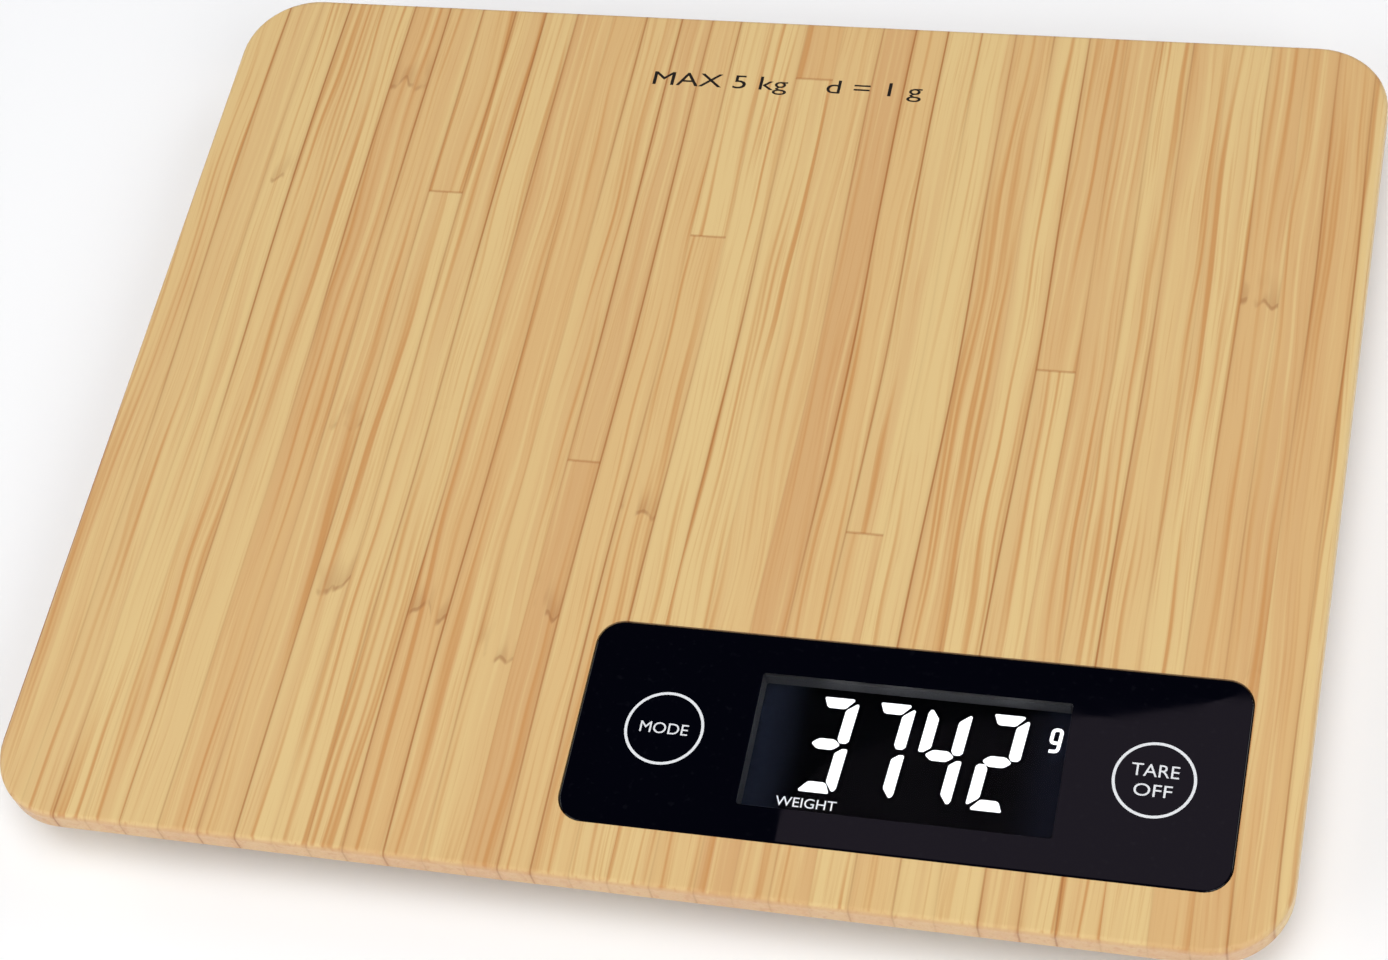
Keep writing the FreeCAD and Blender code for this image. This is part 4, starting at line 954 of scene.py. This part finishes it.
def window_outline(inset):
    """Rounded outline of the window, drawn in by an inset."""
    low, high = lens_low.to_2d(), lens_high.to_2d()
    corners = rectangle(low.x + inset, low.y + inset, high.x - inset, high.y - inset)
    return round_corners(corners, [WINDOW_CORNER - inset] * len(corners))


def make_lens():
    """Clear window lens with a blackened rim."""
    mesh = bmesh.new()
    outline = window_outline(0.0)
    add_slab(mesh, outline, lens_low.z, lens_high.z - lens_low.z)
    piece = finish_piece("window_lens", mesh, finishes["clear_lens"], "scale")
    piece.data.materials.append(finishes["carrier_plastic"])
    for face in piece.data.polygons:
        face.material_index = 0 if abs(face.normal.z) > 0.5 else 1
    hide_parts("display_window")
    return piece


lens = make_lens()
print("lens %.1f x %.1f x %.1f mm" % tuple(lens.dimensions / MM))

# %% [markdown]
# ## The gasket
# Between the lens and the display glass there is a gap, and without something round it one could
# look sideways into the housing. A thin dark sleeve closes it. It is the window's outline drawn
# twice, the second a little inside the first, and joined into a wall.

# %% Gasket
GASKET_THICK = 0.06 * MM
GASKET_CLEAR = 0.02 * MM


def make_gasket():
    """Thin dark sleeve that lines the opening from the display glass up to the lens."""
    mesh = bmesh.new()
    levels = (display_level + GASKET_CLEAR, lens_low.z - GASKET_CLEAR)
    rings = []
    for inset in (0.0, GASKET_THICK):
        outline = window_outline(inset)
        rings.append([[mesh.verts.new((p.x, p.y, z)) for p in outline] for z in levels])
    outer, inner = rings
    bridge_round(mesh, [outer[0], outer[1], inner[1], inner[0]])
    return finish_piece("window_gasket", mesh, gasket_grey, "scale")


gasket = make_gasket()
print("gasket %.1f mm tall" % (gasket.dimensions.z / MM))

# %% [markdown]
# ## Repeated details with Geometry Nodes
# Three details repeat: the anti-slip studs in each rubber foot, the grip ribs on the battery door
# and the printed lines of the rating label. Geometry Nodes suit them: a point is made for each
# copy, a small shape is placed on every point, and the result is made real. Each tree is built here
# with named inputs, run for each piece that it makes, and kept as a plain mesh.

# %% Geometry helpers
def new_maker(name, inputs):
    """Make an empty geometry tree that gives out one geometry and takes named inputs."""
    tree = bpy.data.node_groups.new(name, "GeometryNodeTree")
    tree.interface.new_socket("Geometry", in_out="OUTPUT", socket_type="NodeSocketGeometry")
    for label, kind, default in inputs:
        socket = tree.interface.new_socket(label, in_out="INPUT", socket_type=kind)
        if default is not None:
            socket.default_value = default
    return tree, tree.nodes.new("NodeGroupInput").outputs


def step(tree, kind, inputs, **settings):
    """Add one geometry node and return its first output."""
    return add(tree, "GeometryNode" + kind, inputs, **settings).outputs[0]


def close_maker(tree, geometry, given):
    """Make instances real, move them to their place and give them their material."""
    real = step(tree, "RealizeInstances", {"Geometry": geometry})
    moved = step(tree, "Transform", {"Geometry": real, "Translation": given["Place"]})
    dressed = step(tree, "SetMaterial", {"Geometry": moved, "Material": given["Material"]})
    output = tree.nodes.new("NodeGroupOutput")
    tree.links.new(dressed, output.inputs[0])
    print("tree:", tree.name)
    return tree


def grow(name, tree, values, body):
    """Run a geometry tree once and keep the result as a plain mesh that rides on a body."""
    holder = link_object(name + "_maker", bpy.data.meshes.new(name + "_empty"))
    modifier = holder.modifiers.new("Maker", "NODES")
    modifier.node_group = tree
    for item in tree.interface.items_tree:
        if item.in_out == "INPUT" and item.name in values:
            modifier[item.identifier] = values[item.name]
    piece = link_object(name, plain_mesh(holder))
    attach(piece, body)
    print(name, len(piece.data.polygons), "faces")
    return piece


SHARED_INPUTS = [("Place", "NodeSocketVector", None), ("Material", "NodeSocketMaterial", None)]

# %% Stud ring tree
def build_stud_ring():
    """Small domes evenly spaced round a circle."""
    inputs = [
        ("Ring Radius", "NodeSocketFloat", 5 * MM),
        ("Studs", "NodeSocketInt", 24),
        ("Stud Radius", "NodeSocketFloat", 0.5 * MM),
    ]
    tree, given = new_maker("Stud Ring", inputs + SHARED_INPUTS)
    ring = step(tree, "MeshCircle", {"Vertices": given["Studs"], "Radius": given["Ring Radius"]})
    dome = step(tree, "MeshUVSphere", {"Segments": 10, "Rings": 6, "Radius": given["Stud Radius"]})
    flat = step(tree, "Transform", {"Geometry": dome, "Scale": (1.0, 1.0, 0.6)})
    copies = step(tree, "InstanceOnPoints", {"Points": ring, "Instance": flat})
    return close_maker(tree, copies, given)


stud_ring = build_stud_ring()

# %% Studs in the feet
CORNERS = ("front_left", "front_right", "rear_left", "rear_right")
GROOVE_RADIUS = 5.4 * MM
GROOVE_ROOF = 0.5 * MM
for corner in CORNERS:
    pad_low, pad_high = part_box("foot_pad_" + corner)
    middle = (pad_low + pad_high) / 2
    values = {
        "Ring Radius": GROOVE_RADIUS,
        "Studs": 28,
        "Stud Radius": 0.42 * MM,
        "Place": (middle.x, middle.y, GROOVE_ROOF),
        "Material": finishes["foot_rubber"],
    }
    grow("foot_studs_" + corner, stud_ring, values, "foot_" + corner)

# %% Rib row tree
def build_rib_row():
    """Round-backed ribs side by side along Y."""
    inputs = [
        ("Ribs", "NodeSocketInt", 4),
        ("Pitch", "NodeSocketVector", None),
        ("Half Length", "NodeSocketVector", None),
        ("Rib Radius", "NodeSocketFloat", 0.4 * MM),
    ]
    tree, given = new_maker("Rib Row", inputs + SHARED_INPUTS)
    half = given["Half Length"]
    row = step(tree, "MeshLine", {"Count": given["Ribs"], "Offset": given["Pitch"]}, mode="OFFSET")
    minus = add(tree, "ShaderNodeVectorMath", {0: half, "Scale": -1.0}, operation="SCALE").outputs[0]
    spine = step(tree, "CurvePrimitiveLine", {"Start": minus, "End": half})
    section = step(tree, "CurvePrimitiveCircle", {"Resolution": 14, "Radius": given["Rib Radius"]})
    rod = step(tree, "CurveToMesh", {"Curve": spine, "Profile Curve": section, "Fill Caps": True})
    copies = step(tree, "InstanceOnPoints", {"Points": row, "Instance": rod})
    return close_maker(tree, copies, given)


rib_row = build_rib_row()

# %% Ribs on the battery door
GRIP_START = 6.2 * MM
GRIP_PITCH = 2.4 * MM
GRIP_HALF_LENGTH = 7.6 * MM
GRIP_SINK = 0.05 * MM
door_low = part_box("battery_door")[0]
values = {
    "Ribs": 4,
    "Pitch": (0.0, GRIP_PITCH, 0.0),
    "Half Length": (GRIP_HALF_LENGTH, 0.0, 0.0),
    "Rib Radius": 0.38 * MM,
    "Place": (0.0, door_low.y + GRIP_START, door_low.z + GRIP_SINK),
    "Material": finishes["housing_plastic"],
}
grow("door_grip_ribs", rib_row, values, "battery_cover")

# %% Printed lines tree
SHORTEST_SHARE = 0.45


def build_line_block():
    """Rows of short printed bars of random length, all starting at the same edge."""
    inputs = [
        ("Rows", "NodeSocketInt", 6),
        ("Pitch", "NodeSocketVector", None),
        ("Bar Height", "NodeSocketFloat", 1 * MM),
        ("Longest", "NodeSocketFloat", 30 * MM),
        ("Seed", "NodeSocketInt", 3),
    ]
    tree, given = new_maker("Line Block", inputs + SHARED_INPUTS)
    rows = step(tree, "MeshLine", {"Count": given["Rows"], "Offset": given["Pitch"]}, mode="OFFSET")
    size = add(tree, "ShaderNodeCombineXYZ", {0: 1.0, 1: given["Bar Height"], 2: INK_THICK}).outputs[0]
    bar = step(tree, "MeshCube", {"Size": size})
    from_edge = step(tree, "Transform", {"Geometry": bar, "Translation": (0.5, 0.0, 0.0)})
    shortest = calc(tree, "MULTIPLY", given["Longest"], SHORTEST_SHARE)
    limits = {2: shortest, 3: given["Longest"], "Seed": given["Seed"]}
    length = add(tree, "FunctionNodeRandomValue", limits, data_type="FLOAT").outputs[1]
    scale = add(tree, "ShaderNodeCombineXYZ", {0: length, 1: 1.0, 2: 1.0}).outputs[0]
    bars = {"Points": rows, "Instance": from_edge, "Scale": scale}
    return close_maker(tree, step(tree, "InstanceOnPoints", bars), given)


line_block = build_line_block()

# %% Lines on the rating label
label_low, label_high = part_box("rating_label")
LINE_PITCH = 4.2 * MM
FIRST_LINE = 6.5 * MM
LABEL_MARGIN = 5.0 * MM
COLUMN_GAP = 2 * MM
left_column = label_low.x + LABEL_MARGIN
right_column = (label_low.x + label_high.x) / 2 + COLUMN_GAP
for column, start, seed in (("left", left_column, 3), ("right", right_column, 8)):
    values = {
        "Rows": 6,
        "Pitch": (0.0, -LINE_PITCH, 0.0),
        "Bar Height": 1.1 * MM,
        "Longest": 27 * MM,
        "Seed": seed,
        "Place": (start, label_high.y - FIRST_LINE, label_low.z - INK_THICK / 2),
        "Material": label_ink,
    }
    grow("label_lines_" + column, line_block, values, "scale")

# %% [markdown]
# ## Load cells cut at the tongue
# A kitchen scale weighs by bending four small steel plates. A U-shaped slot leaves a tongue in each
# plate: its rim is clamped to the housing, and the foot pushes the tongue up by a fraction of a
# millimetre. So each plate is cut at the root of its tongue. The rim stays with the housing, and the
# tongue is kept as a piece of its own, sliced across between its root and its middle.

# %% Load cells
TONGUE_SLICES = 8
# The gauge ends where the slot ends, and the cut stays this share short of it, clear of the wall.
SHORT_OF_SLOT = 0.03
CUT_TOLERANCE = 1e-7


def cut_across(mesh, y):
    """Cut the whole mesh along a plane across Y."""
    plane = {"plane_co": (0, y, 0), "plane_no": (0, 1, 0)}
    parts = mesh.verts[:] + mesh.edges[:] + mesh.faces[:]
    bmesh.ops.bisect_plane(mesh, geom=parts, dist=CUT_TOLERANCE, **plane)


def tongue_faces(mesh, middle, root):
    """Faces that can be reached from the face nearest the middle without crossing the root."""
    inside = 1 if middle.y > root else -1

    def before_root(face):
        return (face.calc_center_median().y - root) * inside > 0

    def from_middle(face):
        return (face.calc_center_median() - middle).length

    start = min(filter(before_root, mesh.faces), key=from_middle)
    found, waiting = {start}, [start]
    while waiting:
        for edge in waiting.pop().edges:
            for face in edge.link_faces:
                if face not in found and before_root(face):
                    found.add(face)
                    waiting.append(face)
    return list(found)


def split_cell(corner):
    """Rim and sliced tongue in place of one load cell."""
    node = "load_cell_" + corner
    cell_low, cell_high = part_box(node)
    gauge_low, gauge_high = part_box("strain_gauge_" + corner)
    middle = (cell_low + cell_high) / 2
    slot_end = min((gauge_low.y, gauge_high.y), key=lambda y: abs(y - middle.y))
    root = slot_end + (middle.y - slot_end) * SHORT_OF_SLOT
    pieces = []
    for name, wants_tongue in (("rim", False), ("tongue", True)):
        mesh = bmesh.new()
        mesh.from_mesh(frame["nodes"][node].data)
        mesh.transform(frame["nodes"][node].matrix_world)
        bmesh.ops.remove_doubles(mesh, verts=mesh.verts[:], dist=CUT_TOLERANCE)
        cut_across(mesh, root)
        tongue = set(tongue_faces(mesh, middle, root))
        spare = [face for face in mesh.faces if (face in tongue) != wants_tongue]
        bmesh.ops.delete(mesh, geom=spare, context="FACES")
        bmesh.ops.holes_fill(mesh, edges=[edge for edge in mesh.edges if edge.is_boundary])
        if wants_tongue:
            for step in range(1, TONGUE_SLICES):
                cut_across(mesh, root + (middle.y - root) * step / TONGUE_SLICES)
        piece_name = "load_cell_%s_%s" % (name, corner)
        pieces.append(make_object(piece_name, mesh, finishes["cell_steel"]))
    rim, tongue = pieces
    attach(rim, "scale")
    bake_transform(tongue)
    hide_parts(node)
    return tongue


for corner in CORNERS:
    tongue = split_cell(corner)
    print(tongue.name, "%.1f x %.1f mm" % tuple(tongue.dimensions.xy / MM))

# %% [markdown]
# ## Studio
# A pale floor and large soft lights. Soft light comes from large sources, so every lamp is a big
# area light, and all stand well outside the circle that a camera could take round the object. The
# floor is clear to a camera below it and to shadow rays, and two lamps hang below it, only so that
# the underside can be looked at. The overhead lamp is hidden from reflections, because the gloss
# panel would mirror it as a grey sheet.

# %% Floor
FLOOR_HALF = 3.0
FLOOR_DROP = 0.05 * MM


def stage_sheet(name, places, material):
    """One flat face through some places, beside the object and not part of it."""
    mesh = bmesh.new()
    mesh.faces.new([mesh.verts.new(place) for place in places])
    sheet = link_object(name, mesh_data(name, mesh, material))
    return sheet


def make_floor_finish():
    """Pale floor, clear from below so that the underside can be seen."""
    material, tree, surface, place = new_finish("pale_floor", {"Roughness": 0.9})
    cloud = add(tree, "ShaderNodeTexNoise", {"Vector": place, "Scale": 3.0, "Detail": 2.0}).outputs[0]
    tone = mix_colours(tree, cloud, (0.95, 0.95, 0.95, 1.0), (0.97, 0.97, 0.97, 1.0))
    tree.links.new(tone, surface.inputs["Base Color"])
    from_below = tree.nodes.new("ShaderNodeNewGeometry").outputs["Backfacing"]
    for_shadow = tree.nodes.new("ShaderNodeLightPath").outputs["Is Shadow Ray"]
    clear = add(tree, "ShaderNodeBsdfTransparent")
    share = calc(tree, "MAXIMUM", from_below, for_shadow)
    sockets = {0: share, 1: surface.outputs[0], 2: clear.outputs[0]}
    blend = add(tree, "ShaderNodeMixShader", sockets)
    tree.links.new(blend.outputs[0], tree.nodes["Material Output"].inputs["Surface"])
    return material


floor_corners = rectangle(-FLOOR_HALF, -FLOOR_HALF, FLOOR_HALF, FLOOR_HALF)
floor_places = [(corner.x, corner.y, -FLOOR_DROP) for corner in floor_corners]
floor = stage_sheet("floor", floor_places, make_floor_finish())
print("floor %.0f x %.0f m" % tuple(floor.dimensions.xy))

# %% Lights
# Name, place in metres, side in metres and power in watts.
SOFTBOXES = [
    ("overhead", (0.2, -0.35, 2.1), 1.3, 31.0),
    ("front_left", (-1.5, -1.3, 1.1), 1.4, 15.5),
    ("front_right", (1.5, -1.2, 1.3), 1.4, 16.0),
    ("rear_right", (1.6, 1.3, 1.5), 1.2, 9.0),
    ("rear_left", (-2.0, 0.6, 1.2), 1.2, 8.0),
    ("below_front", (0.6, -1.0, -1.5), 1.4, 8.0),
    ("below_rear", (-0.9, 0.6, -1.6), 1.4, 9.0),
]


def add_softbox(name, place, side, power):
    """Large square lamp that looks at the scale."""
    lamp = bpy.data.lights.new(name, "AREA")
    lamp.shape = "SQUARE"
    lamp.size = side
    lamp.energy = power
    holder = link_object(name, lamp)
    holder.location = place
    holder.rotation_euler = (-Vector(place)).to_track_quat("-Z", "Y").to_euler()
    return holder


softboxes = {name: add_softbox(name, *looks) for name, *looks in SOFTBOXES}
softboxes["overhead"].visible_glossy = False
print("softboxes:", len(softboxes))

# %% World
SKY_COLOUR = (0.35, 0.5, 1.0, 1.0)
SKY_STRENGTH = 0.03
world = bpy.data.worlds.new("studio")
world.use_nodes = True
background = world.node_tree.nodes["Background"]
background.inputs["Color"].default_value = SKY_COLOUR
background.inputs["Strength"].default_value = SKY_STRENGTH
bpy.context.scene.world = world
bpy.context.scene.view_settings.view_transform = "Standard"
print("sky strength:", SKY_STRENGTH)

# %% [markdown]
# ## Camera
# A camera is a place, a direction and a lens. The view looks down from the front right with the
# camera rolled a little, so that the long edge of the platform slopes. The direction and the roll
# are kept as two unit vectors, and the third side of the camera's frame follows from them.

# %% Camera
EYE_FROM_BOARD = Vector((0.1446, -0.2957, 0.4747))
EYE = EYE_FROM_BOARD + Vector((0.0, 0.0, board_high.z))
LOOK = Vector((-0.25277, 0.49436, -0.83169)).normalized()
UP = Vector((-0.08213, 0.84554, 0.52755)).normalized()

FOCAL_LENGTH = 81.785
SENSOR_WIDTH = 36.0
NEAREST_SEEN = 0.01

camera_data = bpy.data.cameras.new("camera")
camera_data.sensor_width = SENSOR_WIDTH
camera_data.lens = FOCAL_LENGTH
camera_data.clip_start = NEAREST_SEEN
camera = link_object("camera", camera_data)
right = LOOK.cross(UP).normalized()
turned = Matrix((right, UP, -LOOK)).transposed().to_4x4()
camera.matrix_world = Matrix.Translation(EYE) @ turned
bpy.context.scene.camera = camera
print("camera %.0f mm from the platform's middle" % (EYE_FROM_BOARD.length / MM))

# %% [markdown]
# ## The reflection in the panel
# A polished black face shows only what it mirrors, so it needs something to mirror. A studio hangs a
# card where the camera sees it in the polished face. Here the wanted edge of the reflection is drawn
# on the panel itself, as a few points measured from the panel's corner, and each point is carried up
# to the card's height along the mirrored line of sight. The card suits this one camera: from other
# sides the reflection falls where it happens to.

# %% Reflection card
CARD_HEIGHT = 2.2
CARD_COLOUR = (0.335, 0.28, 0.36, 1.0)
BLACK = (0.0, 0.0, 0.0, 1.0)
EDGE_POINTS = [
    *((39, -20), (39, 6), (44, 15), (60, 25), (76, 28.5)),
    *((85, 29.5), (92, 30), (99, 32), (106, 34), (111, 36)),
]
OUTER_POINTS = [(130, 38), (130, -20)]


def make_card_finish():
    """Dim even glow that is a little cloudy."""
    constants = {"Base Color": BLACK, "Specular IOR Level": 0.0, "Emission Strength": 1.0}
    material, tree, surface, place = new_finish("card_grey", constants)
    cloud = add(tree, "ShaderNodeTexNoise", {"Vector": place, "Scale": 1.2, "Detail": 1.0}).outputs[0]
    glow = mix_colours(tree, cloud, CARD_COLOUR, shaded(CARD_COLOUR, 0.93))
    tree.links.new(glow, surface.inputs["Emission Color"])
    return material


def card_places():
    """Where the line of sight to each point on the panel, once mirrored, meets the card's height."""
    mirrored_eye = Vector((EYE.x, EYE.y, 2 * panel_high.z - EYE.z))
    reach = (CARD_HEIGHT - mirrored_eye.z) / (panel_high.z - mirrored_eye.z)
    places = []
    for x, y in EDGE_POINTS + OUTER_POINTS:
        on_panel = Vector((panel_low.x + x * MM, panel_low.y + y * MM, panel_high.z))
        places.append(mirrored_eye + (on_panel - mirrored_eye) * reach)
    return places


card = stage_sheet("reflection_card", card_places(), make_card_finish())
card.visible_camera = False
card.visible_shadow = False
print("card %.2f x %.2f m" % (card.dimensions.x, card.dimensions.y))
